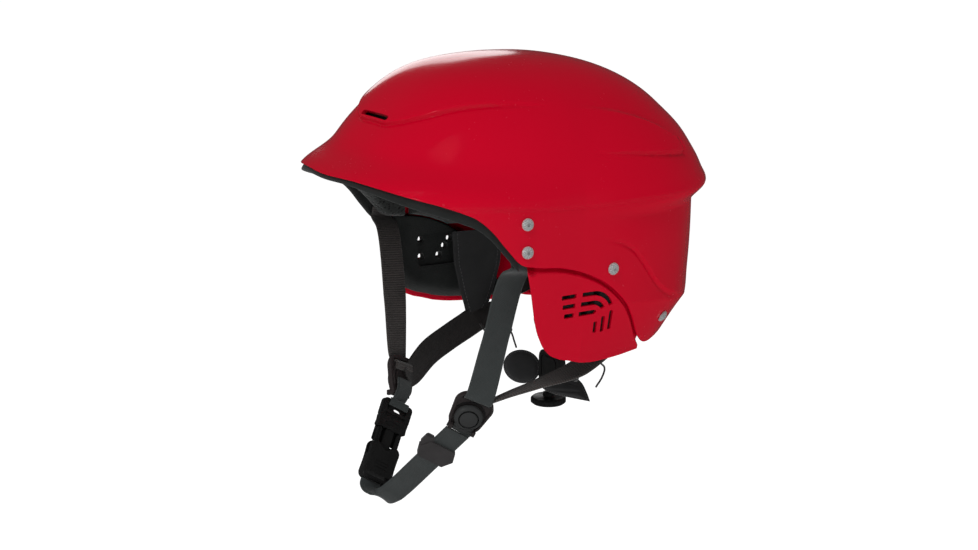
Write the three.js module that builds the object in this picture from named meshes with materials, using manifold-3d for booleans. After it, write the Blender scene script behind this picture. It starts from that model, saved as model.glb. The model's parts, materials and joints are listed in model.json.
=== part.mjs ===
// A whitewater helmet: moulded shell with screwed ear covers, foam liner, chin harness and rear cradle.
// Millimetres, +Z up, the brow faces -Y and the wearer's left ear is on +X.
// The origin is the middle of the head cavity. The helmet is symmetric about X = 0, apart from the chin strap.
import * as THREE from "three";
import { mergeVertices } from "three/addons/utils/BufferGeometryUtils.js";
import Module from "manifold-3d";

const wasm = await Module();
wasm.setup();

// ---------- driving dimensions ----------
const HALF_WIDTH = 107;
const FRONT_LENGTH = 129;
const REAR_LENGTH = 136;
const CROWN_HEIGHT = 102.5;
const LOWER_HEIGHT = 240; // how far down the sides would close if the dome went on
const PLAN_POWER = 2.45;
const SIDE_POWER = 2.4;
const REAR_POWER = 2.2;
const BROW_HOLLOW = { depth: 8.5, at: 33, spread: 20 }; // the forehead leans back above the brim
const BRIM_FLARE = { reach: 18, from: 24, to: 9 };
const REAR_LIP = { reach: 10, from: 31.5, to: 4.5, under: -0.5 };
const NAPE_TAPER = { reach: 16, from: -28, over: 12 };
const NAPE_STEP = { reach: 1, at: -27, spread: 4 };

const SHELL_THICK = 3;
const GAP = 0.3;
const COVER_THICK = 2.2;
const COVER_SUNK = 1; // the visible part of an ear cover lies this far under the shell's surface
const TUCK_DEPTH = SHELL_THICK + 1.15; // the part behind the shell lies this deep
const COVER_TUCK = 11; // degrees that an ear cover runs up behind the shell
const FOAM_BACK = 20; // the head side of the foam, under the shell's surface
const SIDE_FOAM_FRONT = 11;
const FOAM_FRONT = 6.5; // the shell side of the foam, where no ear cover is in between
const WEBBING_WIDTH = 20;
const WEBBING_THICK = 1.6;
const SCREW = { headRadius: 4.2, headHeight: 2.4, shank: 2, hole: 2.4 };

// Edges as [degrees round from the front, degrees of elevation].
const SHELL_RIM = [
  [0, 12], [15, 12], [25, 11], [35, 9.3], [43, 7.6], [48, 6], [52, 4.2], [56, 0.6], [60, -4.6], [65, -10.6],
  [70, -12.4], [80, -14.4], [90, -17.6], [95, -19.6],
  [100, -22], [105, -25.2], [110, -29], [115, -33.8], [120, -38.4], [126, -41.6], [150, -39], [180, -38],
];
const EAR_EDGE = [
  [67.3, -14], [68.2, -18.4], [70, -29], [72.5, -35.4], [75, -38.4], [80, -41.2], [85, -42.6],
  [95, -44.6], [106, -45.2], [114, -45], [120, -44.2], [125, -43.2],
];
const EAR_TURNS = [-22.7, -21.8, -20, -17.5, -15, -10, -5, 0, 5, 10, 15, 20, 25, 30, 35];

// ---------- materials ----------
function finish(color, roughness, metalness = 0) {
  return new THREE.MeshStandardMaterial({ color, roughness, metalness });
}
const RED_SHELL = finish(0xb80018, 0.22);
const FOAM = finish(0x17181a, 0.95);
const FABRIC = finish(0x1c1d1f, 0.9);
const WEBBING = finish(0x26272a, 0.85);
const BLACK_PLASTIC = finish(0x141416, 0.4);
const RUBBER = finish(0x2a2628, 0.7);
const STEEL = finish(0xc8c8c8, 0.3, 1);

// ---------- helpers ----------
const group = new THREE.Group();
const rad = THREE.MathUtils.degToRad;
const clamp = THREE.MathUtils.clamp;
const ramp = THREE.MathUtils.smoothstep;
const vec = (p) => new THREE.Vector3(...p);

function toSolid(geometry) {
  const bare = new THREE.BufferGeometry();
  bare.setAttribute("position", geometry.getAttribute("position"));
  if (geometry.index) bare.setIndex(geometry.index);
  const merged = mergeVertices(bare, 1e-4);
  const index = merged.index.array;
  const kept = [];
  for (let i = 0; i < index.length; i += 3) {
    const [a, b, c] = [index[i], index[i + 1], index[i + 2]];
    if (a !== b && b !== c && a !== c) kept.push(a, b, c);
  }
  return new wasm.Manifold(
    new wasm.Mesh({
      numProp: 3,
      vertProperties: merged.attributes.position.array,
      triVerts: new Uint32Array(kept),
    }),
  );
}

function toGeometry(solid) {
  const mesh = solid.getMesh();
  const geometry = new THREE.BufferGeometry();
  geometry.setAttribute("position", new THREE.BufferAttribute(mesh.vertProperties, 3));
  geometry.setIndex(new THREE.BufferAttribute(mesh.triVerts, 1));
  geometry.computeVertexNormals();
  return geometry;
}

function place(name, solid, material) {
  const mesh = new THREE.Mesh(toGeometry(solid), material);
  mesh.name = name;
  group.add(mesh);
}

function join(...solids) {
  return solids.reduce((all, next) => all.add(next));
}

function cut(solid, ...tools) {
  return tools.reduce((rest, tool) => rest.subtract(tool), solid);
}

const placed = (geometry, matrix) => toSolid(geometry.clone().applyMatrix4(matrix));
const moved = (geometry, x, y, z) => geometry.clone().translate(x, y, z);
const mirrored = (solid) => solid.mirror([1, 0, 0]);

// The same piece on both sides: left as made, right mirrored.
function placePair(name, solid, material) {
  place("left_" + name, solid, material);
  place("right_" + name, mirrored(solid), material);
}

// A frame at a point, with its z axis along out and its y axis as near to up as it can be.
function frameAt(point, out, up = new THREE.Vector3(0, 0, 1)) {
  const z = out.clone().normalize();
  const x = up.clone().cross(z).normalize();
  const y = z.clone().cross(x);
  return new THREE.Matrix4().makeBasis(x, y, z).setPosition(point);
}

function between(points, t) {
  const last = points.length - 1;
  if (t <= points[0][0]) return points[0][1];
  if (t >= points[last][0]) return points[last][1];
  const i = points.findIndex((p) => p[0] > t);
  const [a, b] = [points[i - 1], points[i]];
  return a[1] + ((b[1] - a[1]) * (t - a[0])) / (b[0] - a[0]);
}

// ---------- the shell's surface ----------
// turn is the angle round from +X (+90 is the rear, -90 the brow), lift the elevation, both in degrees.
function surfaceRadius(turn, lift) {
  const [across, along] = [Math.cos(rad(turn)), Math.sin(rad(turn))];
  const front = Math.max(-along, 0) ** 1.5;
  const rear = Math.max(along, 0);
  const length = along < 0 ? FRONT_LENGTH : REAR_LENGTH;
  const plan =
    (Math.abs(across / HALF_WIDTH) ** PLAN_POWER + Math.abs(along / length) ** PLAN_POWER) **
    (-1 / PLAN_POWER);
  const power = SIDE_POWER + (REAR_POWER - SIDE_POWER) * rear;
  const height = lift > 0 ? CROWN_HEIGHT : LOWER_HEIGHT;
  let radius =
    ((Math.cos(rad(lift)) / plan) ** power + (Math.abs(Math.sin(rad(lift))) / height) ** power) **
    (-1 / power);
  radius -= BROW_HOLLOW.depth * front * Math.exp(-(((lift - BROW_HOLLOW.at) / BROW_HOLLOW.spread) ** 2));
  radius += BRIM_FLARE.reach * front * (1 - ramp(lift, BRIM_FLARE.to, BRIM_FLARE.from)) ** 1.6;
  radius += lipReach(turn, lift);
  radius -= NAPE_TAPER.reach * rear * clamp((NAPE_TAPER.from - lift) / NAPE_TAPER.over, 0, 1.3);
  radius += NAPE_STEP.reach * rear * Math.exp(-(((lift - NAPE_STEP.at) / NAPE_STEP.spread) ** 2));
  return radius;
}

function lipReach(turn, lift) {
  const rear = Math.max(Math.sin(rad(turn)), 0);
  const lip = (1 - ramp(lift, REAR_LIP.to, REAR_LIP.from)) * ramp(lift, REAR_LIP.under, REAR_LIP.to);
  return REAR_LIP.reach * rear ** 1.2 * lip;
}

function surfacePoint(turn, lift, offset = 0) {
  const r = surfaceRadius(turn, lift) + offset;
  const level = r * Math.cos(rad(lift));
  return new THREE.Vector3(
    level * Math.cos(rad(turn)),
    level * Math.sin(rad(turn)),
    r * Math.sin(rad(lift)),
  );
}

// A frame on the shell's outer surface, z pointing out of it.
function surfaceFrame(turn, lift) {
  const round = surfacePoint(turn + 1, lift).sub(surfacePoint(turn - 1, lift));
  const rise = surfacePoint(turn, lift + 1).sub(surfacePoint(turn, lift - 1));
  return frameAt(surfacePoint(turn, lift), round.cross(rise));
}

const roundFromFront = (turn) => Math.abs(((((turn + 270) % 360) + 360) % 360) - 180);
const shellRim = (turn) => between(SHELL_RIM, roundFromFront(turn));
const earEdge = (turn) => between(EAR_EDGE, turn + 90);

// A closed layer between two offsets of the surface. turns lists its columns, top and bottom give the
// elevation of its two edges, and a layer that goes all the way round starts at the crown.
function layer({ turns, top, bottom, rows, outer, inner, round = false }) {
  const positions = [];
  const index = [];
  const columns = turns.length;
  for (const offset of [outer, inner])
    for (const turn of turns)
      for (let j = 0; j <= rows; j++) {
        const lift = top(turn) + ((bottom(turn) - top(turn)) * j) / rows;
        positions.push(...surfacePoint(turn, lift, offset(turn, lift)).toArray());
      }
  const out = (i, j) => (i % columns) * (rows + 1) + j;
  const inn = (i, j) => out(i, j) + columns * (rows + 1);
  const quad = (a, b, c, d, flip = false) =>
    flip ? index.push(a, b, d, b, c, d) : index.push(a, b, c, a, c, d);
  const spans = round ? columns : columns - 1;
  for (let i = 0; i < spans; i++) {
    const flip = Math.cos(rad(turns[i] + 1)) > 0;
    for (let j = 0; j < rows; j++) {
      quad(out(i, j), out(i, j + 1), out(i + 1, j + 1), out(i + 1, j), flip);
      quad(inn(i, j), inn(i + 1, j), inn(i + 1, j + 1), inn(i, j + 1), flip);
    }
    quad(out(i + 1, rows), out(i, rows), inn(i, rows), inn(i + 1, rows));
    if (!round) quad(out(i, 0), out(i + 1, 0), inn(i + 1, 0), inn(i, 0));
  }
  if (!round)
    for (let j = 0; j < rows; j++) {
      quad(out(0, j + 1), out(0, j), inn(0, j), inn(0, j + 1));
      quad(out(spans, j), out(spans, j + 1), inn(spans, j + 1), inn(spans, j));
    }
  const geometry = new THREE.BufferGeometry();
  geometry.setAttribute("position", new THREE.Float32BufferAttribute(positions, 3));
  geometry.setIndex(index);
  return toSolid(geometry);
}

function steps(from, to, count) {
  return Array.from({ length: count + 1 }, (_, i) => from + ((to - from) * i) / count);
}

// A flat strap: a rectangular section along a smooth line, with its width turned to follow wide.
function strap(stations, width = WEBBING_WIDTH, thick = WEBBING_THICK, count = 14) {
  const line = new THREE.CatmullRomCurve3(stations.map((s) => vec(s.at)), false, "centripetal");
  const positions = [];
  const index = [];
  for (let i = 0; i <= count; i++) {
    const t = i / count;
    const along = line.getTangent(t);
    const k = Math.min(Math.floor(t * (stations.length - 1)), stations.length - 2);
    const wide = vec(stations[k].wide).lerp(vec(stations[k + 1].wide), t * (stations.length - 1) - k);
    const part = t * (stations.length - 1) - k;
    const full = (stations[k].width ?? width) * (1 - part) + (stations[k + 1].width ?? width) * part;
    wide.addScaledVector(along, -wide.dot(along)).setLength(full / 2);
    const face = along.clone().cross(wide).setLength(thick / 2);
    for (const [a, b] of [[-1, -1], [1, -1], [1, 1], [-1, 1]])
      positions.push(...line.getPoint(t).addScaledVector(wide, a).addScaledVector(face, b).toArray());
  }
  for (let i = 0; i < count; i++)
    for (let k = 0; k < 4; k++) {
      const [a, b] = [4 * i + k, 4 * i + ((k + 1) % 4)];
      index.push(a, b, b + 4, a, b + 4, a + 4);
    }
  const end = 4 * count;
  index.push(0, 2, 1, 0, 3, 2, end, end + 1, end + 2, end, end + 2, end + 3);
  const geometry = new THREE.BufferGeometry();
  geometry.setAttribute("position", new THREE.Float32BufferAttribute(positions, 3));
  geometry.setIndex(index);
  return toSolid(geometry);
}

// A plate of a given outline in its own x-y plane, from z = low to z = high.
function plate(shape, low, high, curveSegments = 6) {
  const geometry = new THREE.ExtrudeGeometry(shape, {
    depth: high - low,
    bevelEnabled: false,
    curveSegments,
  });
  return geometry.translate(0, 0, low);
}

function roundedBox(width, height, corner) {
  const [x, y] = [width / 2, height / 2];
  const shape = new THREE.Shape();
  shape.moveTo(-x + corner, -y);
  shape.lineTo(x - corner, -y).absarc(x - corner, -y + corner, corner, -Math.PI / 2, 0);
  shape.lineTo(x, y - corner).absarc(x - corner, y - corner, corner, 0, Math.PI / 2);
  shape.lineTo(-x + corner, y).absarc(-x + corner, y - corner, corner, Math.PI / 2, Math.PI);
  shape.lineTo(-x, -y + corner).absarc(-x + corner, -y + corner, corner, Math.PI, Math.PI * 1.5);
  return shape;
}

// A turned piece about z, from [radius, height] pairs.
function turned(profile, segments = 14) {
  return new THREE.LatheGeometry(profile.map((p) => new THREE.Vector2(...p)), segments).rotateX(Math.PI / 2);
}

function peg(radius, low, high, segments = 14) {
  return moved(
    new THREE.CylinderGeometry(radius, radius, high - low, segments).rotateX(Math.PI / 2),
    0, 0, (low + high) / 2,
  );
}

// ---------- fasteners ----------
// Each has its place on the shell and the depth of its nut.
const FASTENERS = {
  front_upper: { turn: -23, lift: 2.2, nut: 8.6 },
  front_lower: { turn: -23, lift: -6.8, nut: 8.6 },
  side: { turn: 12.2, lift: -17, nut: 6.6 },
  nape: { turn: 44, lift: -34, nut: 8 },
};
const NUT_THICK = 1.6;

function fastenerHole({ turn, lift }) {
  return placed(peg(SCREW.hole, -16, 6, 10), surfaceFrame(turn, lift));
}

function screw({ turn, lift, nut }) {
  const { headRadius, headHeight, shank } = SCREW;
  const profile = [
    [0, -nut - NUT_THICK], [shank, -nut - NUT_THICK], [shank, GAP], [headRadius, GAP],
    [headRadius, GAP + 0.5], [headRadius * 0.8, GAP + 0.8 * headHeight], [headRadius * 0.4, GAP + headHeight],
    [0, GAP + headHeight],
  ];
  const frame = surfaceFrame(turn, lift);
  const recess = placed(peg(1.1, GAP + headHeight - 1.2, 9, 6), frame);
  return cut(placed(turned(profile, 10), frame), recess);
}

function nutRing({ turn, lift, nut }) {
  const [bore, rim] = [SCREW.shank + GAP, 4.6];
  const ring = [[bore, -nut - NUT_THICK], [rim, -nut - NUT_THICK], [rim, -nut], [bore, -nut], [bore, -nut - NUT_THICK]];
  return placed(turned(ring, 10), surfaceFrame(turn, lift));
}

for (const [name, spot] of Object.entries(FASTENERS)) {
  placePair(name + "_screw", screw(spot), STEEL);
  placePair(name + "_nut", nutRing(spot), STEEL);
}

// ---------- outer shell ----------
const allHoles = Object.values(FASTENERS).flatMap((spot) => {
  const hole = fastenerHole(spot);
  return [hole, mirrored(hole)];
});

const BROW_VENT = { turn: -90, lift: 33.5, length: 36, height: 3.8 };

function browVent() {
  const slot = plate(roundedBox(BROW_VENT.length, BROW_VENT.height, 1.6), -12, 8, 2);
  return placed(slot, surfaceFrame(BROW_VENT.turn, BROW_VENT.lift));
}

// Columns stand closer beside the ears, where the rim drops.
const QUARTER_TURNS = [...steps(0, 60, 12), ...steps(65, 125, 12), ...steps(131, 180, 7)];
const SHELL_TURNS = [
  ...QUARTER_TURNS.slice(1, -1).map((t) => -90 - t).reverse(),
  ...QUARTER_TURNS.map((t) => -90 + t),
];

function outerShell() {
  const dome = layer({
    turns: SHELL_TURNS,
    top: () => 90,
    bottom: shellRim,
    rows: 15,
    outer: () => 0,
    inner: () => -SHELL_THICK,
    round: true,
  });
  return cut(dome, ...allHoles, browVent());
}
place("outer_shell", outerShell(), RED_SHELL);

// ---------- ear covers ----------
const EAR_VENT = { turn: 4.5, lift: -31.6, slot: 2.5 };

// The vent slots run round one centre: a dash, an arc that turns down, and an upright slot, three times over.
const VENT_PATHS = [
  { radius: 16, arcFrom: -9, arcEnd: 22, dash: [-26, -14], upright: [1.8, -12] },
  { radius: 9.5, arcFrom: -10, arcEnd: 30, dash: [-25, -14.5], upright: [-1.5, -12.7] },
  { radius: 3, arcFrom: -11.5, arcEnd: 45, dash: [-23.5, -15.5], upright: [-4.3, -12.2] },
];

function ventSlots() {
  const frame = surfaceFrame(EAR_VENT.turn, EAR_VENT.lift);
  const half = EAR_VENT.slot / 2;
  return VENT_PATHS.flatMap(({ radius, arcFrom, arcEnd, dash, upright }) => {
    const bent = new THREE.Shape();
    bent.moveTo(arcFrom, radius - half);
    bent.lineTo(0, radius - half).absarc(0, 0, radius - half, Math.PI / 2, rad(arcEnd), true);
    bent.lineTo((radius + half) * Math.cos(rad(arcEnd)), (radius + half) * Math.sin(rad(arcEnd)));
    bent.absarc(0, 0, radius + half, rad(arcEnd), Math.PI / 2, false).lineTo(arcFrom, radius + half);
    const dashBox = new THREE.BoxGeometry(dash[1] - dash[0], EAR_VENT.slot, 15);
    const uprightBox = new THREE.BoxGeometry(EAR_VENT.slot, upright[0] - upright[1], 15);
    return [
      placed(plate(bent, -9, 6, 3), frame),
      placed(moved(dashBox, (dash[0] + dash[1]) / 2, radius, -1.5), frame),
      placed(moved(uprightBox, radius, (upright[0] + upright[1]) / 2, -1.5), frame),
    ];
  });
}

function earCover() {
  const under = (turn, lift) => {
    const below = shellRim(turn) - lift;
    return -TUCK_DEPTH + (TUCK_DEPTH - COVER_SUNK) * ramp(below, 2.4, 3.8);
  };
  const cover = layer({
    turns: EAR_TURNS,
    top: (turn) => shellRim(turn) + COVER_TUCK,
    bottom: earEdge,
    rows: 12,
    outer: under,
    inner: (turn, lift) => under(turn, lift) - COVER_THICK,
  });
  const holes = [FASTENERS.front_lower, FASTENERS.side].map(fastenerHole);
  return cut(cover, ...holes, ...ventSlots());
}
placePair("ear_cover", earCover(), RED_SHELL);

// ---------- liner ----------
const foam = (options) =>
  layer({ outer: () => -FOAM_FRONT, inner: () => -FOAM_BACK, rows: 6, ...options });
const CROWN_EDGE = 47;
const BAND_TOP = 45;

place(
  "crown_liner",
  foam({ turns: steps(-180, 180, 24).slice(0, -1), top: () => 90, bottom: () => CROWN_EDGE, rows: 4, round: true }),
  FOAM,
);
place(
  "brow_liner",
  foam({ turns: steps(-148, -32, 14), top: () => BAND_TOP, bottom: (turn) => shellRim(turn) + 0.5, outer: () => -5.5 }),
  FOAM,
);
placePair(
  "side_liner",
  foam({ turns: steps(-13, 40, 8), top: () => BAND_TOP, bottom: () => -11, outer: () => -SIDE_FOAM_FRONT }),
  FOAM,
);
place(
  "rear_liner",
  foam({ turns: steps(52, 128, 12), top: () => BAND_TOP, bottom: () => -28, rows: 8 }),
  FOAM,
);

// ---------- ear pads ----------
const PAD_HOLES = [[-20, 16], [-20, 3], [4.5, 15], [0, 9.5], [-5, 3]];

function earPad() {
  const pad = layer({
    turns: steps(-15, 24, 9),
    top: (turn) => Math.min(shellRim(turn) - 2, -14),
    bottom: (turn) => earEdge(turn) + 2.6,
    rows: 6,
    outer: () => -FOAM_FRONT,
    inner: () => -16,
  });
  const frame = surfaceFrame(EAR_VENT.turn, EAR_VENT.lift);
  const recess = placed(moved(plate(roundedBox(34, 24, 2), -30, -11.5), -7, 8, 0), frame);
  const holes = PAD_HOLES.map(([x, y]) => placed(moved(peg(2.2, -30, 6, 8), x, y, 0), frame));
  return cut(pad, recess, ...holes);
}
placePair("ear_pad", earPad(), FOAM);

// ---------- harness anchors ----------
const FRONT_ANCHOR = { turn: -23, low: -11, high: 6.5, half: 4.4 };

function frontAnchor() {
  const tab = layer({
    turns: steps(FRONT_ANCHOR.turn - FRONT_ANCHOR.half, FRONT_ANCHOR.turn + FRONT_ANCHOR.half, 3),
    top: () => FRONT_ANCHOR.high,
    bottom: () => FRONT_ANCHOR.low,
    rows: 5,
    outer: () => -6.5,
    inner: () => -8.2,
  });
  return cut(tab, fastenerHole(FASTENERS.front_upper), fastenerHole(FASTENERS.front_lower));
}
placePair("front_anchor", frontAnchor(), BLACK_PLASTIC);

function rearAnchor() {
  const tab = layer({
    turns: steps(39, 49, 3),
    top: () => -30,
    bottom: () => -38,
    rows: 3,
    outer: () => -5.6,
    inner: () => -7.4,
  });
  return cut(tab, fastenerHole(FASTENERS.nape));
}
placePair("rear_anchor", rearAnchor(), BLACK_PLASTIC);

// ---------- harness straps ----------
const ADJUSTER = [50, -55, -136];
const FRONT_STRAP_TOP = surfacePoint(FRONT_ANCHOR.turn, FRONT_ANCHOR.low - 2.4, -7.4).toArray();
placePair(
  "front_strap",
  strap([
    { at: FRONT_STRAP_TOP, wide: [0.3, 1, -0.05] },
    { at: [88, -44, -34], wide: [0.15, 1, -0.1] },
    { at: [72, -47, -80], wide: [0.1, 1, -0.15] },
    { at: [57.5, -50.5, -121.5], wide: [0, 1, -0.1] },
  ]),
  WEBBING,
);
placePair(
  "rear_strap",
  strap([
    { at: [62, -37.5, -124], wide: [1, -0.35, 0.1] },
    { at: [66, -10, -118], wide: [1, -0.2, 0] },
    { at: [71, 20, -110], wide: [1, -0.2, -0.3] },
    { at: [72.5, 45, -104], wide: [0.8, -0.4, -0.5] },
    { at: surfacePoint(42, -39.8, -11.5).toArray(), wide: [0.6, -0.75, 0.1] },
  ]),
  WEBBING,
);

// ---------- retention wings ----------
placePair(
  "wing",
  strap(
    [
      { at: [83, 30, -42], wide: [-0.05, -1, 0.1], width: 46 },
      { at: [82, 29, -68], wide: [-0.05, -1, 0.1], width: 42 },
      { at: [78, 25, -92], wide: [-0.1, -1, 0.15], width: 28 },
      { at: [73.5, 20.5, -104], wide: [-0.1, -1, 0.2], width: 15 },
    ],
    WEBBING_WIDTH,
    2,
    8,
  ),
  FABRIC,
);

// ---------- cam adjusters ----------
const ADJUSTER_UP = vec([0.44, 0.26, 0.86]);
const ADJUSTER_OUT = vec([0.835, -0.47, -0.285]);
const ADJUSTER_FRAME = frameAt(vec(ADJUSTER), ADJUSTER_OUT, ADJUSTER_UP);
const ADJUSTER_SIZE = { width: 28, length: 30, thick: 3.6 };
const CAM = { radius: 10, y: -2.5, low: 2.3, high: 6.8, hinge: { y: -13, z: 3.7, radius: 1.4, half: 7 } };

function adjusterBase() {
  const { width, length, thick } = ADJUSTER_SIZE;
  const body = plate(roundedBox(width, length, 9), -thick / 2, thick / 2, 4);
  const webbingSlot = moved(new THREE.BoxGeometry(WEBBING_WIDTH + 1, 2.6, 8), 0, 10.5, 0);
  const lug = (x) => moved(new THREE.BoxGeometry(2.4, 4, 4.2), x, CAM.hinge.y, 3.1);
  const lugX = CAM.hinge.half + 1.6;
  return join(
    cut(placed(body, ADJUSTER_FRAME), placed(webbingSlot, ADJUSTER_FRAME)),
    placed(lug(-lugX), ADJUSTER_FRAME),
    placed(lug(lugX), ADJUSTER_FRAME),
  );
}
placePair("adjuster", adjusterBase(), BLACK_PLASTIC);

function camLid() {
  const { radius, y, low, high, hinge } = CAM;
  const dome = turned([[0, low], [radius, low], [radius, low + 1.6], [radius * 0.72, high - 0.8], [0, high]], 18);
  const knuckle = new THREE.CylinderGeometry(hinge.radius, hinge.radius, 2 * hinge.half, 10).rotateZ(Math.PI / 2);
  return join(
    placed(moved(dome, 0, y, 0), ADJUSTER_FRAME),
    placed(moved(knuckle, 0, hinge.y, hinge.z), ADJUSTER_FRAME),
  );
}
placePair("cam", camLid(), BLACK_PLASTIC);

// ---------- chin loop ----------
// The webbing runs straight from the left adjuster down to the fold, and back up into the buckle socket.
const CHIN_START = [41.5, -60.1, -151.7];
const CHIN_RUN = vec([-0.595, -0.373, -0.713]).normalize();
const CHIN_WIDE = [0.12, 0.83, -0.53];
const alongChin = (distance) => vec(CHIN_START).addScaledVector(CHIN_RUN, distance);
const BUCKLE_TOP = [-41.4, -61.9, -152.8];
const BUCKLE_RUN = vec([0.361, -0.532, -0.766]).normalize();
const BUCKLE_IN = BUCKLE_RUN.clone().cross(vec(CHIN_WIDE)).normalize();
const BUCKLE_FRAME = frameAt(vec(BUCKLE_TOP), BUCKLE_IN, BUCKLE_RUN.clone().negate());
const inBuckle = (x, y, z) => vec([x, y, z]).applyMatrix4(BUCKLE_FRAME).toArray();

// Heights in the buckle's frame: y = 0 is the plug's top bar, and the strap's fold is below -y.
const BUCKLE = { width: 25, ladder: 13, base: 22, prongEnd: 42, guideEnd: 50, mouth: 33, end: 62, thick: 8.4 };

place(
  "chin_webbing",
  strap(
    [
      { at: CHIN_START, wide: CHIN_WIDE },
      { at: alongChin(36).toArray(), wide: CHIN_WIDE },
      { at: alongChin(68).toArray(), wide: CHIN_WIDE },
      { at: [-3.6, -89.8, -205.4], wide: CHIN_WIDE },
      { at: [-9, -93.5, -208.3], wide: CHIN_WIDE },
      { at: [-14, -95.8, -206.3], wide: CHIN_WIDE },
      { at: inBuckle(0, -BUCKLE.end - 3.4, 0), wide: CHIN_WIDE },
      { at: inBuckle(0, -BUCKLE.end - 0.6, 0), wide: CHIN_WIDE },
    ],
    WEBBING_WIDTH,
    WEBBING_THICK,
    24,
  ),
  WEBBING,
);

place(
  "plug_webbing",
  strap(
    [
      { at: inBuckle(0, 0.7, 1.6), wide: CHIN_WIDE },
      { at: inBuckle(0, 0.2, 3), wide: CHIN_WIDE },
      { at: inBuckle(0, -2.2, 3.2), wide: CHIN_WIDE },
      { at: inBuckle(0, -4.8, 2.4), wide: CHIN_WIDE },
    ],
    16,
    1,
    6,
  ),
  WEBBING,
);

function buckleBox(width, from, to, thick, x = 0, z = 0, corner = 1) {
  return moved(plate(roundedBox(width, from - to, corner), -thick / 2, thick / 2, 2), x, (from + to) / 2, z);
}
const inBuckleFrame = (geometry) => placed(geometry, BUCKLE_FRAME);

function bucklePlug() {
  const ladder = inBuckleFrame(buckleBox(BUCKLE.width, 0, -BUCKLE.ladder - 2, 4, 0, 0, 3));
  const windowCut = inBuckleFrame(buckleBox(17, -3, -8, 8));
  const lowerWindow = inBuckleFrame(buckleBox(17, -10, -12.4, 8));
  const base = inBuckleFrame(buckleBox(BUCKLE.width, -BUCKLE.ladder, -BUCKLE.base, 5.4, 0, 0, 2));
  const guide = inBuckleFrame(buckleBox(7, -BUCKLE.base + 2, -BUCKLE.guideEnd, 3.4));
  return join(cut(join(ladder, base), windowCut, lowerWindow), guide);
}
place("buckle_plug", bucklePlug(), BLACK_PLASTIC);

const PRONG = { x: 8.4, width: 3.2, thick: 3.2, barb: 1.7 };

function buckleProng(side) {
  const { x, width, thick, barb } = PRONG;
  const top = -BUCKLE.base - 0.4;
  const arm = buckleBox(width, top, -BUCKLE.prongEnd, thick, side * x, 0, 0.8);
  const hook = buckleBox(width, -37.5, -BUCKLE.prongEnd + 0.6, thick, side * (x + barb), 0, 0.8);
  return join(inBuckleFrame(arm), inBuckleFrame(hook));
}
place("buckle_prong_rear", buckleProng(1), BLACK_PLASTIC);
place("buckle_prong_front", buckleProng(-1), BLACK_PLASTIC);

// The side slots run out to the mouth, so that the barbs pass when the halves part.
function buckleSocket() {
  const outer = inBuckleFrame(buckleBox(26, -BUCKLE.mouth, -BUCKLE.end, BUCKLE.thick, 0, 0, 3));
  const cavity = inBuckleFrame(buckleBox(21.6, -BUCKLE.mouth + 4, -53, 5, 0, 0, 0.6));
  const sideSlots = inBuckleFrame(buckleBox(34, -BUCKLE.mouth + 4, -44, 4, 0, 0, 0.6));
  const webbingSlot = inBuckleFrame(buckleBox(WEBBING_WIDTH + 0.8, -56.6, -59.2, 12));
  return cut(outer, cavity, sideSlots, webbingSlot);
}
place("buckle_socket", buckleSocket(), BLACK_PLASTIC);

// ---------- strap keeper ----------
const KEEPER = { at: 24, width: 29, length: 16, thick: 5.2 };
const KEEPER_OUT = CHIN_RUN.clone().cross(vec(CHIN_WIDE)).normalize().negate();

function strapKeeper() {
  const frame = frameAt(alongChin(KEEPER.at), KEEPER_OUT, CHIN_RUN.clone().negate());
  const [x, y] = [KEEPER.width / 2, KEEPER.length / 2];
  const hexagon = new THREE.Shape();
  hexagon.moveTo(-x, 0).lineTo(-x + 4, -y).lineTo(x - 4, -y).lineTo(x, 0).lineTo(x - 4, y).lineTo(-x + 4, y);
  const sleeve = placed(plate(hexagon, -KEEPER.thick / 2, KEEPER.thick / 2), frame);
  const channel = placed(new THREE.BoxGeometry(WEBBING_WIDTH + 1, 40, WEBBING_THICK + 0.9), frame);
  return cut(sleeve, channel);
}
place("strap_keeper", strapKeeper(), RUBBER);

// ---------- rear cradle ----------
const CRADLE = { y: 44, top: -119, bottom: -148, half: 13.5, thick: 6 };

place(
  "cradle_yoke",
  strap(
    [
      { at: surfacePoint(90, -30, -12).toArray(), wide: [1, 0, 0] },
      { at: [0, 88, -98], wide: [1, 0, 0] },
      { at: [0, 62, -110], wide: [1, 0, 0] },
      { at: [0, CRADLE.y + 3.5, -117], wide: [1, 0, 0], width: 16 },
    ],
    22,
    1.8,
    8,
  ),
  FABRIC,
);

function cradleCore() {
  const outline = roundedBox(2 * CRADLE.half, CRADLE.top - CRADLE.bottom, 7);
  const frame = frameAt(vec([0, CRADLE.y, (CRADLE.top + CRADLE.bottom) / 2]), vec([0, -1, 0]));
  return placed(plate(outline, -CRADLE.thick / 2, CRADLE.thick / 2, 4), frame);
}
place("cradle_core", cradleCore(), BLACK_PLASTIC);

// A flat soft pad with a crowned face on each side.
function lobe({ at, out, up, width, height, thick }) {
  const ball = new THREE.SphereGeometry(1, 20, 8).rotateX(Math.PI / 2).scale(width / 2, height / 2, thick / 2);
  return placed(ball, frameAt(vec(at), vec(out), vec(up)));
}
place(
  "cradle_right_lobe",
  lobe({ at: [-29.5, 36.5, -137], out: [0.56, -0.81, 0.19], up: [0, 0, 1], width: 30, height: 25, thick: 5 }),
  FABRIC,
);
place(
  "cradle_left_lobe",
  lobe({ at: [29.5, 45, -140], out: [0.486, -0.7, 0.52], up: [-0.22, 0.4, 0.89], width: 32, height: 19, thick: 6 }),
  FABRIC,
);

const DIAL = { y: 41, top: -149.6, low: -158.5, radius: 13 };

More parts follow.
